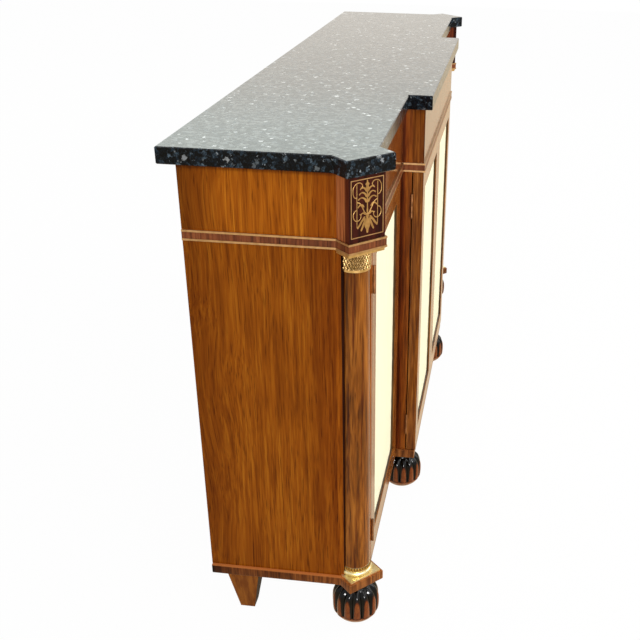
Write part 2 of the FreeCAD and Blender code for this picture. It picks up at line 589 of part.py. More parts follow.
def hinge_leaf(label, moving):
    """A leaf in its own frame: the fixed leaf keeps the pin, the moving leaf is bored for it."""
    y0, y1 = (f"-({LEAF_FAR})", f"-({LEAF_NEAR})") if moving else (LEAF_NEAR, LEAF_FAR)
    members = [box(f"{label}_plate", LEAF_START, LEAF_END, y0, y1, "0", "Dims.hinge_length")]
    if moving:
        members += knuckle(f"{label}_middle", 1, y0, y1)
        bore = cylinder(f"{label}_bore", "Dims.pin_diameter / 2 + Dims.pin_clearance", "Dims.hinge_length",
                        "0", "0", "0")
        return cut(label, fuse(f"{label}_solid", *members), bore)
    for index in (0, 2):
        members += knuckle(f"{label}_{index}", index, y0, y1)
    members.append(cylinder(f"{label}_pin", "Dims.pin_diameter / 2", "Dims.hinge_length", "0", "0", "0"))
    return fuse(label, *members)


def set_hinge(leaf, kind, side, level):
    """Hang a leaf on its door's axis."""
    x, y = HINGE_AXES[kind]
    foot = HINGE_FEET[level]
    leaf.Placement = FreeCAD.Placement(FreeCAD.Vector(), HINGE_TURNS[kind, side])
    z = foot if side < 0 else f"{foot} + Dims.hinge_length"
    return bind(leaf, x=x if side > 0 else f"-({x})", y=y, z=z)


def door_lock(door, face, side, edge):
    """A mortise lock in a door's closing stile: its case, its bolt and the mortise."""
    mortise = lock_box(f"{door}_mortise", face, side, edge, f"{edge} + Dims.lock_depth",
                       "Dims.lock_thickness", "Dims.lock_height")
    bolt_end = f"{edge} + Dims.lock_bolt_inset + Dims.lock_bolt_length"
    room = lock_box(f"{door}_lock_room", face, side, f"{edge} - {SPARE}",
                    f"{bolt_end} + Dims.slide_clearance", BOLT_ROOM, BOLT_RISE)
    case = cut(f"{door}_lock_case", mortise, room)
    bolt = lock_box(door.replace("door", "lock_bolt"), face, side, f"{edge} + Dims.lock_bolt_inset", bolt_end,
                    "Dims.lock_bolt_thickness", "Dims.lock_bolt_height")
    return case, bolt, mortise


def flush_bolt(level):
    """A bolt in the left centre door's closing stile: the bolt, its hole and the slot for its thumb piece."""
    rises = level == "top"
    low = f"({DOOR_FOOT} + Dims.bolt_inset)"
    if rises:
        low = f"({DOOR_TOP} - Dims.bolt_inset - Dims.bolt_length)"
    high = f"({low} + Dims.bolt_length)"
    middle = f"({low} + Dims.bolt_length / 2)"
    hole_low = f"({low} - Dims.slide_clearance)" if rises else f"({DOOR_FOOT} - {SPARE})"
    hole_high = f"({DOOR_TOP} + {SPARE})" if rises else f"({high} + Dims.slide_clearance)"
    hole = cylinder(f"{level}_bolt_hole", BOLT_HOLE, f"{hole_high} - {hole_low}",
                    f"-{BOLT_X}", BOLT_Y, hole_low)
    below, above = ("0", "Dims.bolt_throw") if rises else ("Dims.bolt_throw", "0")
    door_back = f"({FACE} + Dims.door_thickness)"
    wide = "(Dims.thumb_width / 2)"
    long = "(Dims.thumb_length / 2)"
    room = f"({wide} + Dims.slide_clearance)"
    slot = box(f"{level}_bolt_slot", f"-{BOLT_X} - {room}", f"-{BOLT_X} + {room}",
               BOLT_Y, f"{door_back} + {SPARE}", f"{middle} - {long} - {below} - Dims.slide_clearance",
               f"{middle} + {long} + {above} + Dims.slide_clearance")
    rod = cylinder(f"{level}_bolt_rod", "Dims.bolt_diameter / 2", "Dims.bolt_length",
                   f"-{BOLT_X}", BOLT_Y, low)
    thumb = box(f"{level}_bolt_thumb", f"-{BOLT_X} - {wide}", f"-{BOLT_X} + {wide}",
                BOLT_Y, f"{door_back} + Dims.thumb_projection", f"{middle} - {long}", f"{middle} + {long}")
    return fuse(f"{level}_bolt", rod, thumb), hole, slot


fixed_leaves = []
FABRIC_LAP = "(Dims.rebate_width - Dims.fabric_clearance)"

# Doors: rebated frames with a bead and a fabric panel. The closing stile carries the fastenings.
for kind in ("wing", "centre"):
    face = WING if kind == "wing" else FACE
    low = f"({WING_EDGE} + Dims.meeting_gap)" if kind == "wing" else "(Dims.meeting_gap / 2)"
    high = f"({POST_INNER} - Dims.hinge_gap)" if kind == "wing" else CENTRE
    door_back = f"({face} + Dims.door_thickness)"
    sight = (f"{low} + Dims.stile_width", f"{high} - Dims.stile_width")
    sight_z = (f"{DOOR_FOOT} + Dims.bottom_rail", f"{DOOR_TOP} - Dims.top_rail")
    lip = f"({face} + Dims.rebate_lip)"
    for name, side in SIDES:
        door = f"{name}_{kind}_door"
        fittings = []
        for level in HINGE_FEET:
            fixed_leaves.append(set_hinge(hinge_leaf(f"{door}_{level}_fixed", False), kind, side, level))
            fittings.append(set_hinge(hinge_leaf(f"{door}_{level}_leaf", True), kind, side, level))
        rooms = []
        if kind == "wing" or side > 0:
            case, lock_bolt, mortise = door_lock(door, face, side, low)
            fittings.append(case)
            nodes.append(lock_bolt)
            rooms.append(mortise)
        else:
            rooms.append(lock_box(f"{door}_keep", face, side, f"{low} - {SPARE}", f"{low} + Dims.lock_throw",
                                  BOLT_ROOM, BOLT_RISE))
            for level in ("top", "bottom"):
                bolt, hole, slot = flush_bolt(level)
                nodes.append(bolt)
                rooms += [hole, slot]
        rebate = side_box(f"{door}_rebate", side, f"{sight[0]} - Dims.rebate_width",
                          f"{sight[1]} + Dims.rebate_width", lip, f"{door_back} + {SPARE}",
                          f"{sight_z[0]} - Dims.rebate_width", f"{sight_z[1]} + Dims.rebate_width")
        boards = {"closing_stile": (low, sight[0], DOOR_FOOT, DOOR_TOP),
                  "hanging_stile": (sight[1], high, DOOR_FOOT, DOOR_TOP),
                  "top_rail": (*sight, sight_z[1], DOOR_TOP),
                  "bottom_rail": (*sight, DOOR_FOOT, sight_z[0])}
        members = []
        for part, (x0, x1, z0, z1) in boards.items():
            board = side_box(f"{door}_{part}_board", side, x0, x1, face, door_back, z0, z1)
            cuts = [rebate] + (rooms if part == "closing_stile" else [])
            members.append(cut(f"{door}_{part}", board, *cuts))
        nodes.append(group(f"{door}_frame", *members))
        nodes.append(group(f"{door}_fittings", *fittings))

        bead_front = f"{lip} - Dims.bead_depth"
        bead_block = side_box(f"{door}_bead_block", side, *sight, bead_front, lip, *sight_z)
        splay = doc.addObject("Part::Wedge", f"{door}_bead_splay")
        x0, x1 = span(side, *sight)
        bind(splay, Ymin=bead_front, Ymax=lip,
             Xmin=f"{x0} + Dims.bead_land", Xmax=f"{x1} - Dims.bead_land",
             Zmin=f"{sight_z[0]} + Dims.bead_land", Zmax=f"{sight_z[1]} - Dims.bead_land",
             X2min=f"{x0} + Dims.bead_width", X2max=f"{x1} - Dims.bead_width",
             Z2min=f"{sight_z[0]} + Dims.bead_width", Z2max=f"{sight_z[1]} - Dims.bead_width")
        nodes.append(cut(f"{door}_bead", bead_block, splay))
        nodes.append(side_box(f"{door}_fabric", side, f"{sight[0]} - {FABRIC_LAP}",
                              f"{sight[1]} + {FABRIC_LAP}", lip, f"{lip} + Dims.fabric_thickness",
                              f"{sight_z[0]} - {FABRIC_LAP}", f"{sight_z[1]} + {FABRIC_LAP}"))
nodes.append(group("hinge_leaves_fixed", *fixed_leaves))

doc.recompute()
failed = [item.Label for item in doc.Objects if "Invalid" in item.State or "Error" in item.State]
if failed:
    raise RuntimeError(f"failed: {failed}")
for node in nodes:
    if node.Shape.isNull() or not node.Shape.isValid() or not node.Shape.Solids:
        raise RuntimeError(f"bad shape: {node.Label}")

os.makedirs("parts", exist_ok=True)
for node in nodes:
    node.Shape.exportStep(f"parts/{node.Label}.step")
print(len(nodes), "sub-parts written")
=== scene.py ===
"""Looks of a breakfront chiffonier: polished granite, rosewood veneer, gilt brass, ebonised bun feet and
cloth-lined doors. Lengths are in metres unless a name says millimetres."""
import math

import bmesh
import bpy
from mathutils import Matrix, Vector


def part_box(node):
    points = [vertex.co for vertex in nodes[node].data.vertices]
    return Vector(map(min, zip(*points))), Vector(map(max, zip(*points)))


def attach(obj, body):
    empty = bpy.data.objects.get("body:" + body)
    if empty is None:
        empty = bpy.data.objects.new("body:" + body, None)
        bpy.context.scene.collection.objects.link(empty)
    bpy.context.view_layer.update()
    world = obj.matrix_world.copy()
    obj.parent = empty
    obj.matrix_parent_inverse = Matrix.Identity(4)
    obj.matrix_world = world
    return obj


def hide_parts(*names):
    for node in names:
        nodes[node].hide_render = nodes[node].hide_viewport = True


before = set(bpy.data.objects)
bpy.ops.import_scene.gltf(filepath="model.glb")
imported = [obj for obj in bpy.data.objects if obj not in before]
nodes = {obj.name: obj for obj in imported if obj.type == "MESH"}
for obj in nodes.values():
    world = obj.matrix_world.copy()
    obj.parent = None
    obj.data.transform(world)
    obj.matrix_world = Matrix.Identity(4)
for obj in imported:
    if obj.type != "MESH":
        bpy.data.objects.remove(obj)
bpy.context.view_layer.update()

MM = 0.001
MM_PER_M = 1000
SIDES = (("left", -1), ("right", 1))
DOORS = ("left_wing_door", "left_centre_door", "right_wing_door", "right_centre_door")
bpy.context.scene.view_settings.view_transform = "Standard"


# Camera, at the viewpoint that was fitted to the photograph.
CAMERA_PLACE = Vector((-2.14866, -0.34225, 1.28765))
AZIMUTH, ELEVATION, ROLL = (math.radians(angle) for angle in (83.13, 27.15, -1.07))
FOCAL_PIXELS = 925.15
PRINCIPAL_POINT = (394.84, 352.35)
IMAGE_SIZE = 640
SENSOR_MM = 36


def set_camera():
    """A camera with the photograph's viewpoint, lens, roll and off-centre framing."""
    forward = Vector((math.sin(AZIMUTH) * math.cos(ELEVATION), math.cos(AZIMUTH) * math.cos(ELEVATION),
                      -math.sin(ELEVATION)))
    level = Vector((math.cos(AZIMUTH), -math.sin(AZIMUTH), 0))
    plumb = forward.cross(level)
    right = math.cos(ROLL) * level + math.sin(ROLL) * plumb
    up = math.sin(ROLL) * level - math.cos(ROLL) * plumb
    lens = bpy.data.cameras.new("camera")
    lens.sensor_width = SENSOR_MM
    lens.lens = FOCAL_PIXELS / IMAGE_SIZE * SENSOR_MM
    lens.shift_x = (IMAGE_SIZE / 2 - PRINCIPAL_POINT[0]) / IMAGE_SIZE
    lens.shift_y = (PRINCIPAL_POINT[1] - IMAGE_SIZE / 2) / IMAGE_SIZE
    camera = bpy.data.objects.new("camera", lens)
    turn = Matrix((right, up, -forward)).transposed()
    camera.matrix_world = Matrix.Translation(CAMERA_PLACE) @ turn.to_4x4()
    bpy.context.scene.collection.objects.link(camera)
    bpy.context.scene.camera = camera


set_camera()


# Nodes and colours.
def tone(code):
    """An sRGB hex colour as the linear values that shaders take."""
    channels = [int(code[i:i + 2], 16) / 255 for i in (1, 3, 5)]
    linear = [c / 12.92 if c <= 0.04045 else ((c + 0.055) / 1.055) ** 2.4 for c in channels]
    return (*linear, 1.0)


def add(tree, kind, inputs=(), stops=(), **settings):
    """Add a node with its settings; an input is a value or the socket that feeds it. Gives its outputs."""
    node = tree.nodes.new(f"ShaderNode{kind}")
    for name, value in settings.items():
        setattr(node, name, value)
    for key, value in dict(inputs).items():
        if isinstance(value, bpy.types.NodeSocket):
            tree.links.new(value, node.inputs[key])
        else:
            node.inputs[key].default_value = value
    for number, (place, code) in enumerate(stops):
        elements = node.color_ramp.elements
        stop = elements[number] if number < 2 else elements.new(place)
        stop.position = place
        stop.color = tone(code)
    return node.outputs


def blank_finish(name):
    """An empty material and its node tree."""
    material = bpy.data.materials.new(name)
    material.use_nodes = True
    material.node_tree.nodes.clear()
    return material, material.node_tree


# Polished granite of the blue-black feldspar kind: interlocking crystals 5 to 9 mm across, nearly black, some
# slate blue, a few pale, with finer grains among them. The top has the high polish and shows the pale ones
# clearly; the edges are honed duller and show them faintly.
CRYSTAL_MM = 6.5
GRAIN_MM = 3.0
GRIT_MM = 2.2
WARPS_PER_M = 230.0
WARP_REACH = 0.009
EDGE_FACING, TOP_FACING = 0.3, 0.8


def polished_granite():
    material, tree = blank_finish("polished_blue_black_granite")
    place = add(tree, "TexCoord")["Object"]
    drift = add(tree, "TexNoise", {"Vector": place, "Scale": WARPS_PER_M, "Detail": 3.0})["Color"]
    warped = add(tree, "VectorMath", {0: drift, 1: (WARP_REACH,) * 3, 2: place}, operation="MULTIPLY_ADD")[0]
    crystals = add(tree, "TexVoronoi", {"Vector": warped, "Scale": MM_PER_M / CRYSTAL_MM})
    cell = add(tree, "SeparateColor", {"Color": crystals["Color"]})
    body = add(tree, "ValToRGB", {"Fac": cell["Red"]}, stops=(
        (0.0, "#020810"), (0.45, "#071018"), (0.66, "#101E2A"), (0.82, "#23323E"), (0.94, "#364652"),
        (1.0, "#5C6C78")))["Color"]
    grains = add(tree, "TexVoronoi", {"Vector": warped, "Scale": MM_PER_M / GRAIN_MM})
    grain = add(tree, "SeparateColor", {"Color": grains["Color"]})
    speckle = add(tree, "ValToRGB", {"Fac": grain["Green"]}, stops=(
        (0.0, "#000000"), (0.7, "#080B0D"), (0.93, "#20282D"), (0.985, "#515E67"), (1.0, "#D5DEE2")))["Color"]
    mixed = add(tree, "Mix", {0: 0.7, 6: body, 7: speckle}, data_type="RGBA", blend_type="SCREEN")[2]
    grit = add(tree, "TexNoise", {"Vector": place, "Scale": MM_PER_M / GRIT_MM, "Detail": 4.0})["Fac"]
    mottle = add(tree, "ValToRGB", {"Fac": grit}, stops=((0.36, "#7A7A7A"), (0.62, "#FFFFFF")))["Color"]
    mixed = add(tree, "Mix", {0: 1.0, 6: mixed, 7: mottle}, data_type="RGBA", blend_type="MULTIPLY")[2]
    facing = add(tree, "SeparateXYZ", {"Vector": add(tree, "NewGeometry")["Normal"]})["Z"]
    clear = add(tree, "MapRange", {"Value": facing, "From Min": EDGE_FACING, "From Max": TOP_FACING,
                                   "To Min": 0.3, "To Max": 1.0})[0]
    fleck = add(tree, "ValToRGB", {"Fac": cell["Blue"]}, stops=(
        (0.955, "#000000"), (0.97, "#7A8286"), (1.0, "#F0F4F5")))["Color"]
    mixed = add(tree, "Mix", {0: clear, 6: mixed, 7: fleck}, data_type="RGBA", blend_type="SCREEN")[2]
    cracks = add(tree, "TexVoronoi", {"Vector": warped, "Scale": MM_PER_M / CRYSTAL_MM},
                 feature="DISTANCE_TO_EDGE")
    seam = add(tree, "ValToRGB", {"Fac": cracks["Distance"]}, stops=(
        (0.0, "#6A6A6A"), (0.12, "#FFFFFF")))["Color"]
    colour = add(tree, "Mix", {0: 1.0, 6: mixed, 7: seam}, data_type="RGBA", blend_type="MULTIPLY")[2]
    flash = add(tree, "MapRange", {"Value": cell["Green"], "From Min": 0.5, "To Min": 0.3,
                                   "To Max": 0.9})[0]
    polish = add(tree, "MapRange", {"Value": facing, "From Min": EDGE_FACING, "From Max": TOP_FACING,
                                    "To Min": 0.09, "To Max": flash})[0]
    rough = add(tree, "MapRange", {"Value": grain["Blue"], "To Min": 0.12, "To Max": 0.22})[0]
    bump = add(tree, "Bump", {"Height": crystals["Distance"], "Strength": 0.1, "Distance": 0.0002})["Normal"]
    shader = add(tree, "BsdfPrincipled", {"Base Color": colour, "Roughness": rough, "Normal": bump,
                                          "IOR": 1.6, "Specular IOR Level": polish})
    add(tree, "OutputMaterial", {"Surface": shader["BSDF"]})
    return material


# The canted corners: the middle of a canted face, where it meets the end, and the distance from the middle of
# the cabinet, x less y, at which the canted face and the front of a frieze block lie (a hair behind each).
# The painted shade in a strip along a block's arris begins at the first distance and is full at the second.
CANT = (0.78475, -0.11325)
POST_BACK = -0.092
HAIR = 0.0004
BLOCK_DEPTH_MM = 29.4
CANT_FACE = CANT[0] - CANT[1] - HAIR
BLOCK_FACE = CANT_FACE + BLOCK_DEPTH_MM * MM * math.sqrt(2)
ARRIS = (BLOCK_FACE - 0.0175, BLOCK_FACE - 0.0135)
EVERYWHERE = -1.0

# Grain is drawn in millimetres; along the grain the pattern is stretched this many times. Pores are under a
# millimetre wide and are drawn at about two to show.
STRETCH = 20
ALONG = {"x": (MM_PER_M / STRETCH, MM_PER_M, MM_PER_M), "z": (MM_PER_M, MM_PER_M, MM_PER_M / STRETCH)}
DRIFT_MM = 60
LINE_MM = 3
STREAK_MM = 8
INK_MM = 9
PORE_MM = 1.9
CLOUDS_PER_M = 7.0

# How much the fine lines and the clouds count beside the streaks; the middle and half the range of their sum.
LINE_SHARE, CLOUD_SHARE = 0.9, 0.3
SHADE_MIDDLE, SHADE_REACH = 1.1, 0.36

# The swirl in an end's veneer: how often it turns, and how far behind the middle it has its full strength.
SWIRLS_PER_M = (9.0, 9.0, 4.0)
SWIRL_FULL = 0.13

# The painted highlight along a plinth's top edge: faint up to the corner post's back, strong behind it, and
# blended between.
HIGHLIGHT_BLEND = 0.008
HIGHLIGHT_FAINT, HIGHLIGHT_STRONG = 0.15, 0.8


# French-polished rosewood veneer: golden to red-brown ground, fine straight growth lines 3 to 9 mm apart,
# dark ink streaks and short open pores. Rails, between two distances from the middle, have level grain. A
# swirl bends the lines towards the back. Tints darken it along an axis, mostly as painted shade. A ground is
# the darker veneer of a block's front, and painted shade on the half of a post's canted face nearer the end;
# an arris is a strip of painted shade beside it, and an edge a painted highlight between two heights.
def rosewood(name, dark, middle, light, shift=(0, 0, 0), ink=0.5, rails=None, wave=12, swirl=0, spread=1.0,
             specular=0.16, roughness=0.3, tints=(), arris=None, ground_and_shade=None, edge=None):
    material, tree = blank_finish(name)
    place = add(tree, "TexCoord")["Object"]
    apart = add(tree, "SeparateXYZ", {"Vector": place})
    across = add(tree, "Math", {0: apart["X"]}, operation="ABSOLUTE")[0]
    run = add(tree, "Mapping", {"Vector": place, "Location": shift, "Scale": ALONG["z"]})[0]
    if rails:
        start, end = rails
        level = add(tree, "Mapping", {"Vector": place, "Location": shift, "Scale": ALONG["x"]})[0]
        past = add(tree, "Math", {0: across, 1: start * MM}, operation="GREATER_THAN")[0]
        short = add(tree, "Math", {0: across, 1: end * MM}, operation="LESS_THAN")[0]
        on_rail = add(tree, "Math", {0: past, 1: short}, operation="MULTIPLY")[0]
        run = add(tree, "Mix", {0: on_rail, 4: run, 5: level}, data_type="VECTOR")[1]
    drift = add(tree, "TexNoise", {"Vector": run, "Scale": 1 / DRIFT_MM, "Detail": 2.0})["Color"]
    wander = add(tree, "VectorMath", {0: drift, 1: (wave,) * 3, 2: run}, operation="MULTIPLY_ADD")[0]
    if swirl:
        long = add(tree, "Mapping", {"Vector": place, "Scale": SWIRLS_PER_M})[0]
        curl = add(tree, "TexNoise", {"Vector": long, "Detail": 1.0, "Scale": 1.0})["Color"]
        reach = add(tree, "MapRange", {"Value": apart["Y"], "From Min": 0.0, "From Max": SWIRL_FULL,
                                       "To Max": swirl})[0]
        bent = add(tree, "VectorMath", {0: curl, "Scale": reach}, operation="SCALE")[0]
        wander = add(tree, "VectorMath", {0: wander, 1: bent})[0]
    fine = add(tree, "TexNoise", {"Vector": wander, "Scale": 1 / LINE_MM, "Detail": 2.0})["Fac"]
    streak = add(tree, "TexNoise", {"Vector": wander, "Scale": 1 / STREAK_MM, "Detail": 3.0,
                                    "Roughness": 0.55})["Fac"]
    cloud = add(tree, "TexNoise", {"Vector": place, "Scale": CLOUDS_PER_M, "Detail": 2.0})["Fac"]
    lines = add(tree, "Math", {0: fine, 1: LINE_SHARE, 2: streak}, operation="MULTIPLY_ADD")[0]
    shade = add(tree, "Math", {0: cloud, 1: CLOUD_SHARE, 2: lines}, operation="MULTIPLY_ADD")[0]
    depth = add(tree, "MapRange", {"Value": shade, "From Min": SHADE_MIDDLE - SHADE_REACH / spread,
                                   "From Max": SHADE_MIDDLE + SHADE_REACH / spread})[0]
    body = add(tree, "ValToRGB", {"Fac": depth}, stops=((0.1, dark), (0.5, middle), (0.9, light)))["Color"]
    vein = add(tree, "TexNoise", {"Vector": wander, "Scale": 1 / INK_MM, "Detail": 3.0,
                                  "Roughness": 0.55})["Fac"]
    inked = add(tree, "ValToRGB", {"Fac": vein}, stops=(
        (0.56, "#FFFFFF"), (0.66, "#A8805E"), (0.76, "#5A3A22")))["Color"]
    colour = add(tree, "Mix", {0: ink, 6: body, 7: inked}, data_type="RGBA", blend_type="MULTIPLY")[2]
    pore = add(tree, "TexNoise", {"Vector": wander, "Scale": 1 / PORE_MM, "Detail": 1.0})["Fac"]
    pitted = add(tree, "ValToRGB", {"Fac": pore}, stops=((0.56, "#FFFFFF"), (0.72, "#6E5236")))["Color"]
    colour = add(tree, "Mix", {0: 0.6, 6: colour, 7: pitted}, data_type="RGBA", blend_type="MULTIPLY")[2]
    for axis, low, high, above, stops in tints:
        part = add(tree, "MapRange", {"Value": apart[axis], "From Min": low * MM, "From Max": high * MM})[0]
        tint = add(tree, "ValToRGB", {"Fac": part}, stops=stops)["Color"]
        held = add(tree, "Math", {0: apart["Z"], 1: above * MM}, operation="GREATER_THAN")[0]
        colour = add(tree, "Mix", {0: held, 6: colour, 7: tint}, data_type="RGBA", blend_type="MULTIPLY")[2]
    outward = add(tree, "Math", {0: across, 1: apart["Y"]}, operation="SUBTRACT")[0]
    # An arris: a strip of painted shade beside the block's arris.
    if arris:
        begins, full, shadow = arris
        near = add(tree, "MapRange", {"Value": outward, "From Min": begins, "From Max": full})[0]
        strip = add(tree, "ValToRGB", {"Fac": near}, stops=((0.0, "#FFFFFF"), (1.0, shadow)))["Color"]
        colour = add(tree, "Mix", {0: 1.0, 6: colour, 7: strip}, data_type="RGBA", blend_type="MULTIPLY")[2]
    # A ground: on a block, its darker front veneer; on a post, painted shade on the half of the canted face
    # nearer the end.
    if ground_and_shade:
        face, limit, deep, raised = ground_and_shade
        front = add(tree, "Math", {0: outward, 1: face}, operation="GREATER_THAN")[0]
        back = add(tree, "Math", {0: apart["Y"], 1: limit}, operation="GREATER_THAN")[0]
        held = add(tree, "Math", {0: front, 1: back}, operation="MULTIPLY")[0]
        panel = add(tree, "ValToRGB", {"Fac": streak}, stops=((0.35, deep), (0.7, raised)))["Color"]
        colour = add(tree, "Mix", {0: held, 6: colour, 7: panel}, data_type="RGBA")[2]
    # An edge: a painted highlight, a paler band between two heights.
    if edge:
        foot, top, highlight_colour = edge
        strength = add(tree, "MapRange", {"Value": apart["Y"], "From Min": POST_BACK - HIGHLIGHT_BLEND,
                                          "From Max": POST_BACK + HIGHLIGHT_BLEND, "To Min": HIGHLIGHT_FAINT,
                                          "To Max": HIGHLIGHT_STRONG})[0]
        rise = add(tree, "MapRange", {"Value": apart["Z"], "From Min": foot * MM, "From Max": top * MM,
                                      "To Max": strength})[0]
        colour = add(tree, "Mix", {0: rise, 6: colour, 7: tone(highlight_colour)}, data_type="RGBA")[2]
    gloss = add(tree, "MapRange", {"Value": streak, "To Min": roughness - 0.05,
                                   "To Max": roughness + 0.08})[0]
    bump = add(tree, "Bump", {"Height": pitted, "Strength": 0.2, "Distance": 0.00012})["Normal"]
    shader = add(tree, "BsdfPrincipled", {"Base Color": colour, "Roughness": gloss, "Normal": bump,
                                          "Specular IOR Level": specular})
    add(tree, "OutputMaterial", {"Surface": shader["BSDF"]})
    return material


# Tints, in millimetres: an axis, where the shading starts and ends along it, the height above which it holds,
# and its colours from start to end.
# Painted shade on the ends, front to back: dark bands in the first 63 mm, partly dark veneer streaks and
# partly painted shade by the corner post, and painted shade towards the back; the back of the frieze darker
# and bluer; the panel below 787 mm painted darker than the frieze above; and a painted shadow under the
# stone.
END_SHADE_AND_STREAKS = (
    ("Y", -94, 167, 0, ((0.0, "#D8C8B8"), (0.03, "#FFF4E8"), (0.055, "#D6C4B6"), (0.1, "#EEE2D8"),
                        (0.16, "#E2D6CC"), (0.24, "#FFFFFF"), (0.72, "#FFFFFF"), (0.84, "#EAE4E0"),
                        (1.0, "#DAD2CC"))),
    ("Y", 90, 165, 787, ((0.0, "#FFFFFF"), (1.0, "#C6C4D0"))),
    ("Z", 777, 787, 0, ((0.0, "#E0DEDC"), (1.0, "#FFFFFF"))),
    ("Z", 884, 892.5, 0, ((0.0, "#FFFFFF"), (1.0, "#8C7866"))),
)
# Painted shade: the far, right-hand frieze block darker than the near one.
FAR_BLOCK_SHADE = (("X", -10, 10, 0, ((0.0, "#FFFFFF"), (1.0, "#8E746C"))),)
# Painted shade on the plinths: a little darker behind the corner post, and much darker towards the back end.
PLINTH_SHADE = (
    ("Y", 112, 162, 0, ((0.0, "#FFFFFF"), (0.6, "#B0A49C"), (1.0, "#54463E"))),
    ("Y", -100, -84, 0, ((0.0, "#FFFFFF"), (1.0, "#DACEC6"))),
)
# Painted shade on the returns, darker towards the inner corner where they meet the wing fronts.
RETURN_CORNER_SHADE = (("Y", -158, -134, 0, ((0.0, "#FFFFFF"), (0.55, "#F8E6DA"), (0.8, "#CCA490"),
                                      (1.0, "#86605A"))),)

granite = polished_granite()
# The ends: painted shade along their length and a painted shadow under the stone.
end_veneer = rosewood("rosewood_end_veneer", "#7C3C07", "#A5580E", "#C97A1C", shift=(3.1, 0.0, 0.0), ink=0.4,
                      wave=8, swirl=34, specular=0.04, tints=END_SHADE_AND_STREAKS, spread=0.62)
front_veneer = rosewood("rosewood_front_veneer", "#4A2009", "#733A10", "#94541A", shift=(0.7, 1.9, 0.4),
                        roughness=0.13)
# The posts: painted shade on the half of each canted face nearer the end, behind the column.
post_veneer = rosewood("rosewood_corner_posts", "#662E0A", "#944D16", "#AC6424", shift=(0.7, 1.1, 0.4),
                       ground_and_shade=(CANT_FACE, CANT[1], "#1E0B06", "#34150B"), specular=0.04, roughness=0.2)
wing_door_veneer = rosewood("rosewood_wing_doors", "#5A2B0C", "#864A17", "#A8692C", rails=(423.5, 706.6),
                            roughness=0.14)
centre_door_veneer = rosewood("rosewood_centre_doors", "#5A2B0C", "#8A4E18", "#AC6D2E", rails=(43, 313.5),
                              shift=(0.0, 0.3, 0.9), roughness=0.14)
column_veneer = rosewood("rosewood_column_veneer", "#542E0A", "#83460D", "#A8641E", ink=0.9, wave=34,
                         shift=(0.0, 0.0, 1.3), specular=0.17, roughness=0.14)
# The plinths: a painted highlight along the top edge, and painted shade along their length.
plinth_veneer = rosewood("rosewood_crossbanded_plinth", "#4C2812", "#844C21", "#AE6C34", ink=0.7,
                         edge=(109.5, 112.0, "#DC8444"), specular=0.08, tints=PLINTH_SHADE)
# The blocks: a dark veneered front, a strip of painted shade along the arris, and painted shade on the far
# block.
block_veneer = rosewood("rosewood_frieze_blocks", "#94502A", "#B6683A", "#CC8046", ink=0.3, specular=0.06,
                        ground_and_shade=(BLOCK_FACE, EVERYWHERE, "#260D0A", "#4A1C12"), shift=(0.2, 0.0, 0.7),
                        arris=(*ARRIS, "#866A70"), tints=FAR_BLOCK_SHADE)
band_veneer = rosewood("rosewood_frieze_band", "#522A14", "#783E20", "#94542C", shift=(0.0, 0.9, 0.0))
# The returns: painted shade towards the inner corner.
return_veneer = rosewood("rosewood_return_veneer", "#582A0A", "#8E4C14", "#B26A20", shift=(0.4, 0.2, 0.1),
                         specular=0.08, tints=RETURN_CORNER_SHADE)


# Stained wood, planed and left unpolished: straight grain with wide dull bands. The faces that look to the
# front, under the cabinet, may be darkened with painted shade.
WANDER_MM = 18.0
FIGURE_MM = 34
BAND_TURNS = 48.0
BAND_SHARE = 0.16
FIBRE_MM = 4


def stained_wood(name, dark, light, grain, specular=0.25, front=None):
    material, tree = blank_finish(name)
    place = add(tree, "TexCoord")["Object"]
    run = add(tree, "Mapping", {"Vector": place, "Scale": ALONG[grain]})[0]
    drift = add(tree, "TexNoise", {"Vector": run, "Scale": 1 / DRIFT_MM, "Detail": 2.0})["Color"]
    wander = add(tree, "VectorMath", {0: drift, 1: (WANDER_MM,) * 3, 2: run}, operation="MULTIPLY_ADD")[0]
    figure = add(tree, "TexNoise", {"Vector": wander, "Scale": 1 / FIGURE_MM, "Detail": 1.0})["Fac"]
    swing = add(tree, "Math", {0: figure, 1: BAND_TURNS}, operation="MULTIPLY")[0]
    growth = add(tree, "Math", {0: swing}, operation="SINE")[0]
    streak = add(tree, "TexNoise", {"Vector": wander, "Scale": 1 / FIBRE_MM, "Detail": 5.0})["Fac"]
    shade = add(tree, "Math", {0: growth, 1: BAND_SHARE, 2: streak}, operation="MULTIPLY_ADD")[0]
    colour = add(tree, "ValToRGB", {"Fac": shade}, stops=((0.28, dark), (0.72, light)))["Color"]
    # Painted shade on the faces that look to the front.
    if front:
        facing = add(tree, "SeparateXYZ", {"Vector": add(tree, "NewGeometry")["Normal"]})["Y"]
        painted_front_shade = add(tree, "MapRange", {"Value": facing, "From Min": -0.2, "From Max": -0.6})[0]
        colour = add(tree, "Mix", {0: painted_front_shade, 6: colour, 7: tone(front)}, data_type="RGBA")[2]
    bump = add(tree, "Bump", {"Height": shade, "Strength": 0.3, "Distance": 0.0003})["Normal"]
    shader = add(tree, "BsdfPrincipled", {"Base Color": colour, "Roughness": 0.62, "Normal": bump,
                                          "Specular IOR Level": specular})
    add(tree, "OutputMaterial", {"Surface": shader["BSDF"]})
    return material


inside_pine = stained_wood("stained_pine_boards", "#5B3A1E", "#8A6238", "x")
back_pine = stained_wood("stained_pine_back", "#54371D", "#805A34", "z")
# The rear feet: painted shade on the faces that look to the front.
rear_foot_wood = stained_wood("stained_beech_rear_feet", "#743E14", "#94581F", "z", specular=0.06,
                              front="#24130A")


# Gilt and plain brass. A metal takes its colour from what it mirrors, so the base is a little deep; old
# lacquer dulls it in patches, and dirt stays in the hollows, which the relief attribute marks. Scratches are
# finer than 0.4 mm and are drawn at that.
SCRATCHES_PER_M = 2600.0


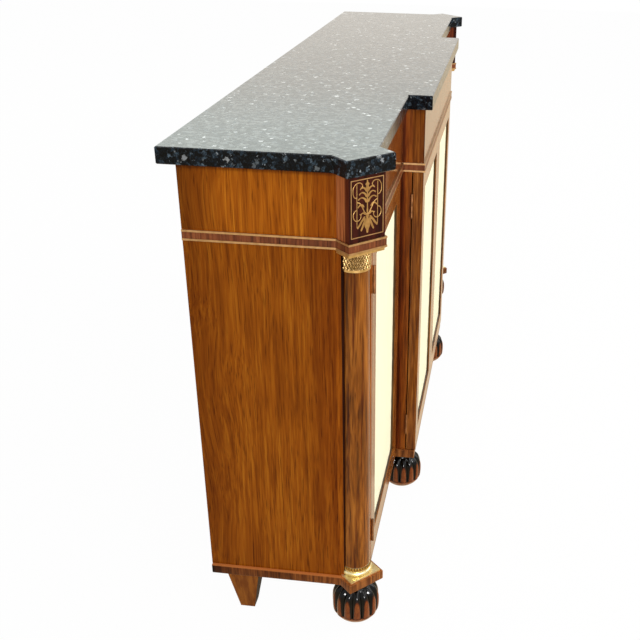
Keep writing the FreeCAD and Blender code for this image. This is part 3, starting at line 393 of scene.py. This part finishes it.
def brass(name, bright, dull, roughness, relief=False, patch_mm=9.0, scratches=0.12):
    material, tree = blank_finish(name)
    place = add(tree, "TexCoord")["Object"]
    patch = add(tree, "TexNoise", {"Vector": place, "Scale": MM_PER_M / patch_mm, "Detail": 4.0})["Fac"]
    colour = add(tree, "ValToRGB", {"Fac": patch}, stops=((0.32, dull), (0.66, bright)))["Color"]
    if relief:
        height = add(tree, "Attribute", attribute_name="relief")["Fac"]
        dirt = add(tree, "ValToRGB", {"Fac": height}, stops=((0.06, "#1C1004"), (0.8, "#FFFFFF")))["Color"]
        colour = add(tree, "Mix", {0: 0.95, 6: colour, 7: dirt}, data_type="RGBA", blend_type="MULTIPLY")[2]
    gloss = add(tree, "MapRange", {"Value": patch, "To Min": roughness + 0.15, "To Max": roughness - 0.1})[0]
    scratch = add(tree, "TexNoise", {"Vector": place, "Scale": SCRATCHES_PER_M, "Detail": 2.0})["Fac"]
    bump = add(tree, "Bump", {"Height": scratch, "Strength": scratches, "Distance": 0.0001})["Normal"]
    shader = add(tree, "BsdfPrincipled", {"Base Color": colour, "Roughness": gloss, "Metallic": 1.0,
                                          "Normal": bump})
    add(tree, "OutputMaterial", {"Surface": shader["BSDF"]})
    return material


string_brass = brass("inlaid_brass_string", "#BE9A70", "#9E7C52", 0.36)
inlay_brass = brass("inlaid_brass_foliage", "#B8925C", "#987648", 0.38)
capital_gilt = brass("gilt_brass_capitals", "#B49565", "#8C6F40", 0.42, relief=True)
base_gilt = brass("gilt_brass_bases", "#EADCAE", "#C8B27A", 0.26, relief=True, scratches=0.02)
collar_gilt = brass("gilt_brass_collars", "#C49A52", "#8E6A30", 0.34, relief=True)
plate_brass = brass("gilt_brass_plates", "#F0E4B8", "#D4C084", 0.44, patch_mm=24.0, scratches=0.02)
abacus_brass = brass("gilt_brass_abaci", "#D2B078", "#A8884C", 0.32)
aged_brass = brass("aged_brass_fittings", "#9A7B45", "#5E4825", 0.4)
hinge_brass = brass("oxidised_brass_hinges", "#A0704A", "#6C482C", 0.45)


# Ebonised and polished beech, rubbed back to red-brown on the crowns of the lobes. The crown attribute is
# near 1 on a lobe's crown and on the bowl, 0 in a groove and on the neck. Worn patches are about 8 mm wide.
WEAR_PER_M = 120.0
WEAR_SHARE = 0.24


def ebonised_beech():
    material, tree = blank_finish("ebonised_beech_feet")
    place = add(tree, "TexCoord")["Object"]
    crown = add(tree, "Attribute", attribute_name="crown")["Fac"]
    wear = add(tree, "TexNoise", {"Vector": place, "Scale": WEAR_PER_M, "Detail": 4.0})["Fac"]
    rubbed = add(tree, "Math", {0: wear, 1: WEAR_SHARE, 2: crown}, operation="MULTIPLY_ADD")[0]
    colour = add(tree, "ValToRGB", {"Fac": rubbed}, stops=(
        (0.30, "#040302"), (0.60, "#2E1208"), (0.84, "#733412"), (1.0, "#8E4E22")))["Color"]
    bump = add(tree, "Bump", {"Height": wear, "Strength": 0.12, "Distance": 0.0004})["Normal"]
    gloss = add(tree, "MapRange", {"Value": wear, "To Min": 0.08, "To Max": 0.18})[0]
    shader = add(tree, "BsdfPrincipled", {"Base Color": colour, "Roughness": gloss, "Normal": bump,
                                          "Specular IOR Level": 0.18})
    add(tree, "OutputMaterial", {"Surface": shader["BSDF"]})
    return material


foot_finish = ebonised_beech()


# Cream cotton rep, stretched: a plain weave with slightly uneven upright threads. Threads are about 0.4 mm
# and are drawn at 1.3 mm to show, which is pi / 10 over the scale of the waves. Slubs run up the cloth.
THREAD_WAVES = 0.24
SLUBS_PER_MM = (0.35, 0.012, 1.0)


def cream_cotton():
    material, tree = blank_finish("cream_cotton_rep")
    flat = add(tree, "UVMap", uv_map="cloth_mm")["UV"]
    warp, weft = (add(tree, "TexWave", {"Vector": flat, "Scale": THREAD_WAVES, "Distortion": 0.6,
                                        "Detail": 1.0},
                      wave_type="BANDS", bands_direction=axis)["Fac"] for axis in "XY")
    weave = add(tree, "Math", {0: warp, 1: weft}, operation="MULTIPLY")[0]
    slub = add(tree, "Mapping", {"Vector": flat, "Scale": SLUBS_PER_MM})[0]
    band = add(tree, "TexNoise", {"Vector": slub, "Scale": 1.0, "Detail": 3.0})["Fac"]
    base = add(tree, "ValToRGB", {"Fac": band}, stops=((0.3, "#F8F0CC"), (0.7, "#FEF8DA")))["Color"]
    threads = add(tree, "ValToRGB", {"Fac": weave}, stops=((0.0, "#EEE8D4"), (0.5, "#FFFFFF")))["Color"]
    colour = add(tree, "Mix", {0: 0.5, 6: base, 7: threads}, data_type="RGBA", blend_type="MULTIPLY")[2]
    bump = add(tree, "Bump", {"Height": weave, "Strength": 0.35, "Distance": 0.0003})["Normal"]
    shader = add(tree, "BsdfPrincipled", {"Base Color": colour, "Roughness": 0.9, "Normal": bump,
                                          "Specular IOR Level": 0.15, "Sheen Weight": 0.15,
                                          "Sheen Roughness": 0.5})
    add(tree, "OutputMaterial", {"Surface": shader["BSDF"]})
    return material


cloth = cream_cotton()
bead_finish = rosewood("dark_stained_beads", "#2A190B", "#4A3216", "#664A22")

FINISHES = {
    granite: ("stone_top",),
    end_veneer: ("end_panel_left", "end_panel_right"),
    front_veneer: ("frieze_left", "frieze_right", "frieze_centre"),
    post_veneer: ("corner_post_left", "corner_post_right"),
    return_veneer: ("partition_left", "partition_right", "wing_stiles"),
    wing_door_veneer: ("left_wing_door_frame", "right_wing_door_frame"),
    centre_door_veneer: ("left_centre_door_frame", "right_centre_door_frame"),
    column_veneer: ("column_left", "column_right"),
    plinth_veneer: ("plinth_left", "plinth_right", "plinth_centre"),
    block_veneer: ("frieze_block_left", "frieze_block_right"),
    band_veneer: ("frieze_band",),
    bead_finish: tuple(f"{door}_bead" for door in DOORS),
    inside_pine: ("base_board", "top_board", "shelf_left", "shelf_right", "shelf_centre", "shelf_battens"),
    back_pine: ("back_panels",),
    rear_foot_wood: ("feet_rear",),
    string_brass: ("brass_strings", "inlay_borders"),
    abacus_brass: ("capital_left", "capital_right"),
    plate_brass: ("column_base_left", "column_base_right"),
    aged_brass: ("top_bolt", "bottom_bolt", "left_wing_lock_bolt", "right_wing_lock_bolt",
                 "right_centre_lock_bolt"),
    hinge_brass: ("hinge_leaves_fixed",) + tuple(f"{door}_fittings" for door in DOORS),
}
for material, names in FINISHES.items():
    for name in names:
        nodes[name].data.materials.clear()
        nodes[name].data.materials.append(material)


# Pieces.
SHARP_ANGLE = math.radians(40)
MERGE_WITHIN = 1e-6


def piece(name, bm, material, place, body="carcase"):
    """Make a finished mesh an object at the origin that rides on a body."""
    mesh = bpy.data.meshes.new(name)
    bm.to_mesh(mesh)
    bm.free()
    mesh.transform(place)
    mesh.shade_smooth()
    mesh.set_sharp_from_angle(angle=SHARP_ANGLE)
    mesh.materials.append(material)
    made = bpy.data.objects.new(name, mesh)
    bpy.context.scene.collection.objects.link(made)
    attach(made, body)
    return made


def turned(profile, steps):
    """A full turning about Z from a line of radius and height points in millimetres."""
    bm = bmesh.new()
    line = [bm.verts.new((radius * MM, 0, height * MM)) for radius, height in profile]
    edges = [bm.edges.new(pair) for pair in zip(line, line[1:])]
    bmesh.ops.spin(bm, geom=line + edges, cent=(0, 0, 0), axis=(0, 0, 1), angle=2 * math.pi, steps=steps,
                   use_merge=True)
    bmesh.ops.remove_doubles(bm, verts=bm.verts, dist=MERGE_WITHIN)
    bmesh.ops.recalc_face_normals(bm, faces=bm.faces)
    return bm


def softened(points, between):
    """Points along a smooth line through a few profile points."""
    line = []
    count = len(points)
    for i in range(count - 1):
        before, start, end, after = (points[min(max(i + k, 0), count - 1)] for k in (-1, 0, 1, 2))
        for step in range(between):
            t = step / between
            line.append([0.5 * (2 * b + (c - a) * t + (2 * a - 5 * b + 4 * c - d) * t ** 2
                                + (3 * b - a - 3 * c + d) * t ** 3)
                         for a, b, c, d in zip(before, start, end, after)])
    return line + [list(points[-1])]


# Plinth lengths with their edges worn round.
EASE_MM = 2.0
FLAT_ANGLE, EDGE_ANGLE = math.radians(1), math.radians(30)


def eased_plinth(node):
    """A copy of a plinth length with its sharp edges rounded."""
    bm = bmesh.new()
    bm.from_mesh(nodes[node].data)
    bmesh.ops.remove_doubles(bm, verts=bm.verts, dist=MERGE_WITHIN)
    bmesh.ops.dissolve_limit(bm, angle_limit=FLAT_ANGLE, verts=bm.verts, edges=bm.edges)
    sharp = [edge for edge in bm.edges if edge.is_manifold and edge.calc_face_angle() > EDGE_ANGLE]
    bmesh.ops.bevel(bm, geom=sharp, offset=EASE_MM * MM, offset_type="OFFSET", affect="EDGES", segments=3,
                    profile=0.5, material=-1)
    made = piece(f"eased_{node}", bm, plinth_veneer, place=nodes[node].matrix_world.copy())
    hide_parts(node)


for node in ("plinth_left", "plinth_right"):
    eased_plinth(node)


# Gadrooned bun feet: 14 lobes on a swollen bulb, wide below and narrow over the shoulder, dying away into a
# plain bowl below and ending round under a waisted neck. They are rubbed brown nearly up to the tip.
# Radii and heights are in millimetres; a pair of values is where a change begins and where it is full.
LOBES = 14
STEPS_PER_LOBE = 12
FOOT_LINE = ((24, 0), (30.5, 4.4), (37, 10.4), (40.4, 15.4), (43.4, 19.4), (45, 28), (45.5, 42), (44.3, 56),
             (39.2, 69), (31.5, 77), (27, 81), (26.4, 86), (27, 92.5))
STEPS_PER_POINT = 5
GROOVE = 4.8
GROOVE_OPENS = (15, 25)
GROOVE_CLOSES = (80, 73)
NARROWS = (14, 50)
LOBE_WIDE, LOBE_NARROW = 0.45, 1.1
BROWN_TIP = (50, 80)
TIP_ROUND = 0.8
BROWN_RIDGE = (0.42, 0.72)
RIDGE_WEAR = 0.78
BROWN_BOWL = (25, 19)


def share(value, begins, full):
    """How far a value has come from one mark to the other, held between 0 and 1."""
    return min(1, max(0, (value - begins) / (full - begins)))


def bun_foot(name, x, y):
    """A turned bulb with its lobes pushed in at the grooves."""
    bm = turned([(0, 0)] + softened(FOOT_LINE, STEPS_PER_POINT), LOBES * STEPS_PER_LOBE)
    crown_layer = bm.verts.layers.float.new("crown")
    for vert in bm.verts:
        height = vert.co.z / MM
        crest = abs(math.sin(math.atan2(vert.co.y, vert.co.x) * LOBES / 2))
        lobe = crest ** (LOBE_WIDE + (LOBE_NARROW - LOBE_WIDE) * share(height, *NARROWS))
        fade = share(height, *GROOVE_OPENS) * share(height, *GROOVE_CLOSES)
        radius = vert.co.to_2d().length
        if radius > 0:
            vert.co.xy *= 1 - (1 - lobe) * fade * GROOVE * MM / radius
        tip = (1 - share(height, *BROWN_TIP)) ** TIP_ROUND
        ridge = RIDGE_WEAR * share(lobe * tip, *BROWN_RIDGE) * fade
        vert[crown_layer] = max(share(height, *BROWN_BOWL), ridge)
    made = piece(name, bm, foot_finish, place=Matrix.Translation((x, y, 0)))
    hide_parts(name.replace("gadrooned_", ""))


for node in ("foot_front_left", "foot_front_right", "foot_centre_left", "foot_centre_right"):
    low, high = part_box(node)
    middle = (low + high) / 2
    bun_foot(f"gadrooned_{node}", middle.x, middle.y)


# Pieces on the canted corners are made in a frame at the foot of the canted face, -Y outwards. Sizes are in
# millimetres, and a mesh is given as its rows and its steps round a full turn.
COLUMN_SETBACK = 4.5
FACE_CLEARANCE = 0.1


def corner_frame(side):
    """Where a piece made about the canted face's middle goes."""
    return Matrix.Translation((side * CANT[0], CANT[1], 0)) @ Matrix.Rotation(math.radians(45 * side), 4, "Z")


def half_turned(profile, steps):
    """The part of a turning that stands in front of the canted face."""
    bm = turned(profile, steps)
    bmesh.ops.translate(bm, verts=bm.verts, vec=(0, COLUMN_SETBACK * MM, 0))
    bmesh.ops.bisect_plane(bm, geom=bm.verts[:] + bm.edges[:] + bm.faces[:],
                           plane_co=(0, -FACE_CLEARANCE * MM, 0), plane_no=(0, 1, 0), clear_outer=True)
    return bm


def levels(foot, height, steps):
    """Evenly spaced values from a foot over a height."""
    return [foot + height * i / steps for i in range(steps + 1)]


def chase(bm, foot, height, depth, pattern, hollow=0.0):
    """Raise a pattern of each point's turn and rise from a turning, and mark how high it stands."""
    relief_layer = bm.verts.layers.float.new("relief")
    for vert in bm.verts:
        local = Vector((vert.co.x, vert.co.y - COLUMN_SETBACK * MM))
        turn = math.atan2(local.y, local.x) / (2 * math.pi)
        swell = pattern(turn, (vert.co.z / MM - foot) / height)
        vert[relief_layer] = hollow + (1 - hollow) * swell
        local *= 1 + depth * swell * MM / local.length
        vert.co.x = local.x
        vert.co.y = local.y + COLUMN_SETBACK * MM


# Capital: a chased lattice of lozenges with a boss in each, wrapped round the drum.
CAPITAL_FOOT, CAPITAL_HEIGHT, CAPITAL_RADIUS = 734.2, 27.6, 25.3
CAPITAL_RELIEF = 1.6
CAPITAL_MESH = (42, 360)
LATTICE_ROWS = 5
LATTICE_ROUND = 28
RIDGE_SHARPNESS, BOSS_SHARPNESS = 10, 4
BOSS_HEIGHT = 0.9


def lattice(turn, rise):
    """How high the chasing stands: ridges that cross in lozenges, and a boss in each."""
    around, up = turn * LATTICE_ROUND, rise * LATTICE_ROWS
    one, other = math.pi * (around + up / 2), math.pi * (around - up / 2)
    ridge = max(abs(math.cos(one)), abs(math.cos(other))) ** RIDGE_SHARPNESS
    boss = (abs(math.sin(one)) * abs(math.sin(other))) ** BOSS_SHARPNESS
    return min(1.0, ridge + BOSS_HEIGHT * boss)


def capital_sleeve(name, side):
    """The chased sleeve of a capital between its rim and its abacus."""
    rows, steps = CAPITAL_MESH
    heights = levels(CAPITAL_FOOT, CAPITAL_HEIGHT, rows)
    bm = half_turned([(CAPITAL_RADIUS, height) for height in heights], steps)
    chase(bm, CAPITAL_FOOT, CAPITAL_HEIGHT, CAPITAL_RELIEF, lattice)
    piece(name, bm, capital_gilt, place=corner_frame(side))


# Base: a bright round moulding, and a collar of small scallops that stand on it.
RING_RADIUS, RING_HEIGHT, RING_ROUND = 26.1, 120, 5.05
RING_HOLLOW = [(28.2, 125.3), (28.6, 126.4), (28.2, 127.5)]
RING_MESH = (16, 128)
COLLAR_FOOT, COLLAR_HEIGHT, COLLAR_RADIUS = 127.4, 6.4, 28.1
COLLAR_RELIEF = 1.1
COLLAR_HOLLOW = 0.25
COLLAR_MESH = (12, 264)
TONGUES = 33
TONGUE_ROUND = 4


def column_ring(name, side):
    """The round moulding of a column base, with its hollow above."""
    rows, steps = RING_MESH
    half = [(RING_RADIUS + RING_ROUND * math.cos(angle), RING_HEIGHT + RING_ROUND * math.sin(angle))
            for angle in levels(-math.pi / 2, math.pi, rows)]
    bm = half_turned(half + RING_HOLLOW, steps)
    relief_layer = bm.verts.layers.float.new("relief")
    for vert in bm.verts:
        vert[relief_layer] = 1.0
    piece(name, bm, base_gilt, place=corner_frame(side))


def scallops(turn, rise):
    """How high the chasing stands: upright tongues with round ends."""
    return max(0.0, abs(math.sin(math.pi * turn * TONGUES)) - rise ** TONGUE_ROUND)


def scalloped_collar(name, side):
    """A collar of upright tongues round the foot of a column."""
    rows, steps = COLLAR_MESH
    heights = levels(COLLAR_FOOT, COLLAR_HEIGHT, rows)
    bm = half_turned([(COLLAR_RADIUS, height) for height in heights], steps)
    chase(bm, COLLAR_FOOT, COLLAR_HEIGHT, COLLAR_RELIEF, scallops, COLLAR_HOLLOW)
    piece(name, bm, collar_gilt, place=corner_frame(side))


for name, side in SIDES:
    capital_sleeve(f"capital_sleeve_{name}", side)
    column_ring(f"base_ring_{name}", side)
    scalloped_collar(f"base_collar_{name}", side)


# Brass foliage on the frieze blocks, in millimetres across and up from the middle of the border's foot.
# Stems are round strips, leaves flat outlines; all are flattened. Each is drawn once and mirrored.
STEMS = (
    (0.55, ((18, 71), (18, 60), (18, 46), (18, 30), (18, 14))),
    (0.6, ((18, 53.5), (22, 54.5), (24.6, 61), (22.6, 69), (16, 72.6), (10, 71), (8.6, 67), (11.2, 65.4))),
    (0.6, ((18, 37.5), (22, 36), (24.3, 30), (21.6, 24.4), (17, 22.8), (12.4, 25), (11, 29), (13.2, 31.6))),
    (0.8, ((18, 47.5), (13, 45.5), (8, 38.5), (4, 32), (0, 29.6))),
)
LEAVES = (
    ((0.8, 62), (4.5, 65.5), (9, 66.2), (12.8, 63.4), (9.2, 64.8), (5.4, 63.4), (1.2, 59.5)),
    ((0.9, 55), (5, 59.2), (10, 60), (14.4, 56.6), (10.2, 58.6), (6, 57.2), (1.3, 52.4)),
    ((0.9, 48), (5.4, 52.4), (11, 53.4), (16, 50.2), (11.2, 52), (6.4, 50.4), (1.4, 45.4)),
    ((6.5, 42.5), (10, 44.4), (14.4, 43.4), (16.6, 40), (13, 42), (9.4, 41.8), (5.8, 39.4)),
    ((1, 29.2), (5, 32.8), (8.6, 33), (11.4, 30.4), (8, 31.4), (4.8, 29.6)),
    ((3.6, 25), (6.8, 20.4), (9.6, 14.4), (11, 8.2), (8.2, 10.8), (5.6, 16), (3, 22)),
    ((4, 27.2), (9.4, 23.8), (14.4, 18), (17.8, 12.6), (13.4, 15), (8.8, 20.2), (4, 25)),
)
SPINE = ((0, 75), (1.5, 71.5), (3.5, 69.8), (2, 67), (3, 64.4), (1.4, 61), (1.1, 50), (0.8, 40), (1.4, 34),
         (0.8, 29.4), (2.6, 27.4), (1.8, 25.4), (4.6, 19.5), (5, 14.5), (2.4, 9.8), (0, 4.2))
INLAY_FOOT = 793.0
INLAY_PROUD = 0.06
FOLIAGE_SCALE = (1.085, 1.195)
FLATTENED = 0.3
LEAF_THICKNESS = 0.16


def drawn(name, points, closed, width=0.0):
    """A curve through points, as a mesh of a filled leaf or a round stem."""
    line = bpy.data.curves.new(name, "CURVE")
    line.dimensions = "2D" if closed else "3D"
    line.fill_mode = "BOTH" if closed else "FULL"
    line.resolution_u = 5
    line.extrude = LEAF_THICKNESS if closed else 0.0
    line.bevel_depth = width
    line.bevel_resolution = 2
    spline = line.splines.new("BEZIER")
    spline.bezier_points.add(len(points) - 1)
    for knot, (across, up) in zip(spline.bezier_points, points):
        knot.co = (across, up, 0)
        knot.handle_left_type = "AUTO"
        knot.handle_right_type = "AUTO"
    spline.use_cyclic_u = closed
    holder = bpy.data.objects.new(name, line)
    mesh = bpy.data.meshes.new_from_object(holder)
    bpy.data.objects.remove(holder)
    bpy.data.curves.remove(line)
    return mesh


def foliage(name, side):
    """All the brass of one block, flattened and set in its face."""
    bm = bmesh.new()
    for number, leaf in enumerate(LEAVES):
        bm.from_mesh(drawn(f"leaf_{number}", leaf, True))
    for number, (width, stem) in enumerate(STEMS):
        bm.from_mesh(drawn(f"stem_{number}", stem, False, width))
    mirrored = bmesh.ops.duplicate(bm, geom=bm.verts[:] + bm.edges[:] + bm.faces[:])["geom"]
    knots = [part for part in mirrored if isinstance(part, bmesh.types.BMVert)]
    bmesh.ops.scale(bm, vec=(-1, 1, 1), verts=knots)
    spine = list(SPINE) + [(-across, up) for across, up in reversed(SPINE[1:-1])]
    bm.from_mesh(drawn("spine", spine, True))
    across, up = FOLIAGE_SCALE
    bmesh.ops.scale(bm, vec=(across * MM, up * MM, FLATTENED * MM), verts=bm.verts)
    bmesh.ops.recalc_face_normals(bm, faces=bm.faces)
    upright = Matrix.Rotation(math.pi / 2, 4, "X")
    stand = Matrix.Translation((0, -(BLOCK_DEPTH_MM + INLAY_PROUD) * MM, INLAY_FOOT * MM)) @ upright
    piece(name, bm, inlay_brass, place=corner_frame(side) @ stand)


for name, side in SIDES:
    foliage(f"brass_foliage_{name}", side)


# Cloth in the doors, cut to the rebate and drawn tight, with slight pulls where it is tacked.
CLOTH_GRID = (44, 84)
TACK_SPACING = 0.042
PULL_REACH, PULL_DEPTH = 0.02, 0.00022
SLACK_DEPTH = 0.0003
SLACK_ACROSS, SLACK_UP = 19, 11
CLOTH_SETBACK, CLOTH_THICKNESS = 0.0007, 0.0009


def tack_pull(inset, along):
    """How far the tacks along an edge draw the cloth, at a distance in from it and along it."""
    return math.exp(-inset / PULL_REACH) * math.sin(along * 2 * math.pi / TACK_SPACING)


def door_cloth(door):
    """One stretched sheet in place of a door's plain panel."""
    low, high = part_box(f"{door}_fabric")
    width, length = high.x - low.x, high.z - low.z
    bm = bmesh.new()
    bmesh.ops.create_grid(bm, x_segments=CLOTH_GRID[0], y_segments=CLOTH_GRID[1], size=0.5)
    bmesh.ops.scale(bm, vec=(width, length, 1), verts=bm.verts)
    bmesh.ops.rotate(bm, cent=(0, 0, 0), matrix=Matrix.Rotation(math.pi / 2, 3, "X"), verts=bm.verts)
    uv = bm.loops.layers.uv.new("cloth_mm")
    for face in bm.faces:
        for loop in face.loops:
            loop[uv].uv = (loop.vert.co.x / MM, loop.vert.co.z / MM)
    for vert in bm.verts:
        from_side = width / 2 - abs(vert.co.x)
        from_end = length / 2 - abs(vert.co.z)
        pull = tack_pull(from_side, vert.co.z) + tack_pull(from_end, vert.co.x)
        slack = math.sin(vert.co.x * SLACK_ACROSS + 1) * math.sin(vert.co.z * SLACK_UP + 2)
        vert.co.y += PULL_DEPTH * pull + SLACK_DEPTH * slack
    centre = (low + high) / 2
    made = piece(f"{door}_cloth", bm, cloth, body=door,
                 place=Matrix.Translation((centre.x, low.y + CLOTH_SETBACK, centre.z)))
    wall = made.modifiers.new("thickness", "SOLIDIFY")
    wall.thickness = CLOTH_THICKNESS
    wall.offset = -1
    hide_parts(f"{door}_fabric")


for door in DOORS:
    door_cloth(door)


# Stage: a pale floor, plain soft light, and white surroundings that the polish mirrors.
def seen_ray(tree):
    """1 for rays from the camera, in a mirror or through glass; 0 for rays that light the object."""
    path = add(tree, "LightPath")
    mirrored = add(tree, "Math", {0: path["Is Camera Ray"], 1: path["Is Glossy Ray"]}, operation="MAXIMUM")[0]
    return add(tree, "Math", {0: mirrored, 1: path["Is Transmission Ray"]}, operation="MAXIMUM")[0]


AMBIENT = 0.62
FLOOR_GLOW = 0.975
FIBRES_PER_M = 900.0
FLOOR_REACH, FLOOR_DROP = 9, 0.0005


def white_surroundings():
    """White where it is seen or mirrored, and a softer light on the object."""
    world = bpy.data.worlds.new("white_surroundings")
    world.use_nodes = True
    tree = world.node_tree
    tree.nodes.clear()
    strength = add(tree, "MapRange", {"Value": seen_ray(tree), "To Min": AMBIENT, "To Max": 1.0})[0]
    glow = add(tree, "Background", {"Color": tone("#FFFFFF"), "Strength": strength})
    add(tree, "OutputWorld", {"Surface": glow["Background"]})
    bpy.context.scene.world = world


def pale_floor():
    """Matt white paper: where it is seen it is nearly all its own glow, and keeps a faint shadow."""
    material, tree = blank_finish("white_paper_floor")
    place = add(tree, "TexCoord")["Object"]
    fibre = add(tree, "TexNoise", {"Vector": place, "Scale": FIBRES_PER_M, "Detail": 2.0})["Fac"]
    colour = add(tree, "ValToRGB", {"Fac": fibre}, stops=((0.3, "#F4F4F3"), (0.7, "#FAFAF9")))["Color"]
    paper = add(tree, "BsdfPrincipled", {"Base Color": colour, "Roughness": 1.0, "Specular IOR Level": 0.0})
    warmth = add(tree, "Mix", {0: add(tree, "LightPath")["Is Glossy Ray"], 6: tone("#FFFFFF"),
                               7: tone("#FFEBC8")}, data_type="RGBA")[2]
    glow = add(tree, "Emission", {"Color": warmth, "Strength": 1.0})
    glowing = add(tree, "Math", {0: seen_ray(tree), 1: FLOOR_GLOW}, operation="MULTIPLY")[0]
    both = add(tree, "MixShader", {0: glowing, 1: paper["BSDF"], 2: glow["Emission"]})
    add(tree, "OutputMaterial", {"Surface": both["Shader"]})
    bm = bmesh.new()
    bmesh.ops.create_grid(bm, x_segments=2, y_segments=2, size=FLOOR_REACH)
    mesh = bpy.data.meshes.new("floor")
    bm.to_mesh(mesh)
    bm.free()
    mesh.materials.append(material)
    floor = bpy.data.objects.new("floor", mesh)
    floor.location.z = -FLOOR_DROP
    bpy.context.scene.collection.objects.link(floor)


def soft_box(name, place, aim, width, height, watts, code="#FFFFFF", only_shine=False):
    """A soft lamp that the camera doesn't see; one for shine alone shows only in polished surfaces."""
    lamp = bpy.data.lights.new(name, "AREA")
    lamp.shape = "RECTANGLE"
    lamp.size = width
    lamp.size_y = height
    lamp.energy = watts
    lamp.color = tone(code)[:3]
    holder = bpy.data.objects.new(name, lamp)
    holder.rotation_euler = (Vector(aim) - Vector(place)).to_track_quat("-Z", "Y").to_euler()
    holder.location = place
    holder.visible_camera = False
    holder.visible_diffuse = not only_shine
    bpy.context.scene.collection.objects.link(holder)


white_surroundings()
pale_floor()
soft_box("key_lamp", (-2.8, -2.6, 2.4), (-0.5, -0.1, 0.5), width=2.2, height=2.2, watts=46)
soft_box("front_lamp", (0.8, -3.6, 2.2), (0.1, 0, 0.45), width=2.4, height=2.0, watts=60)
soft_box("window", (-3.4, -0.9, 1.3), (-0.8, -0.1, 0.1), width=0.2, height=0.2, watts=6)
soft_box("window_shine", (-3.5, -0.93, 1.3), (-0.8, -0.1, 0.1), width=0.6, height=0.6, watts=110,
         only_shine=True)
soft_box("far_card", (4.2, 0.2, 2.9), (0.0, 0.0, 0.9), width=5.0, height=1.8, watts=30.2, code="#E4F5E8")
soft_box("low_card", (4.2, 0.2, 1.55), (0.0, 0.0, 0.9), width=5.0, height=0.8, watts=4.4, code="#FFE0A8")
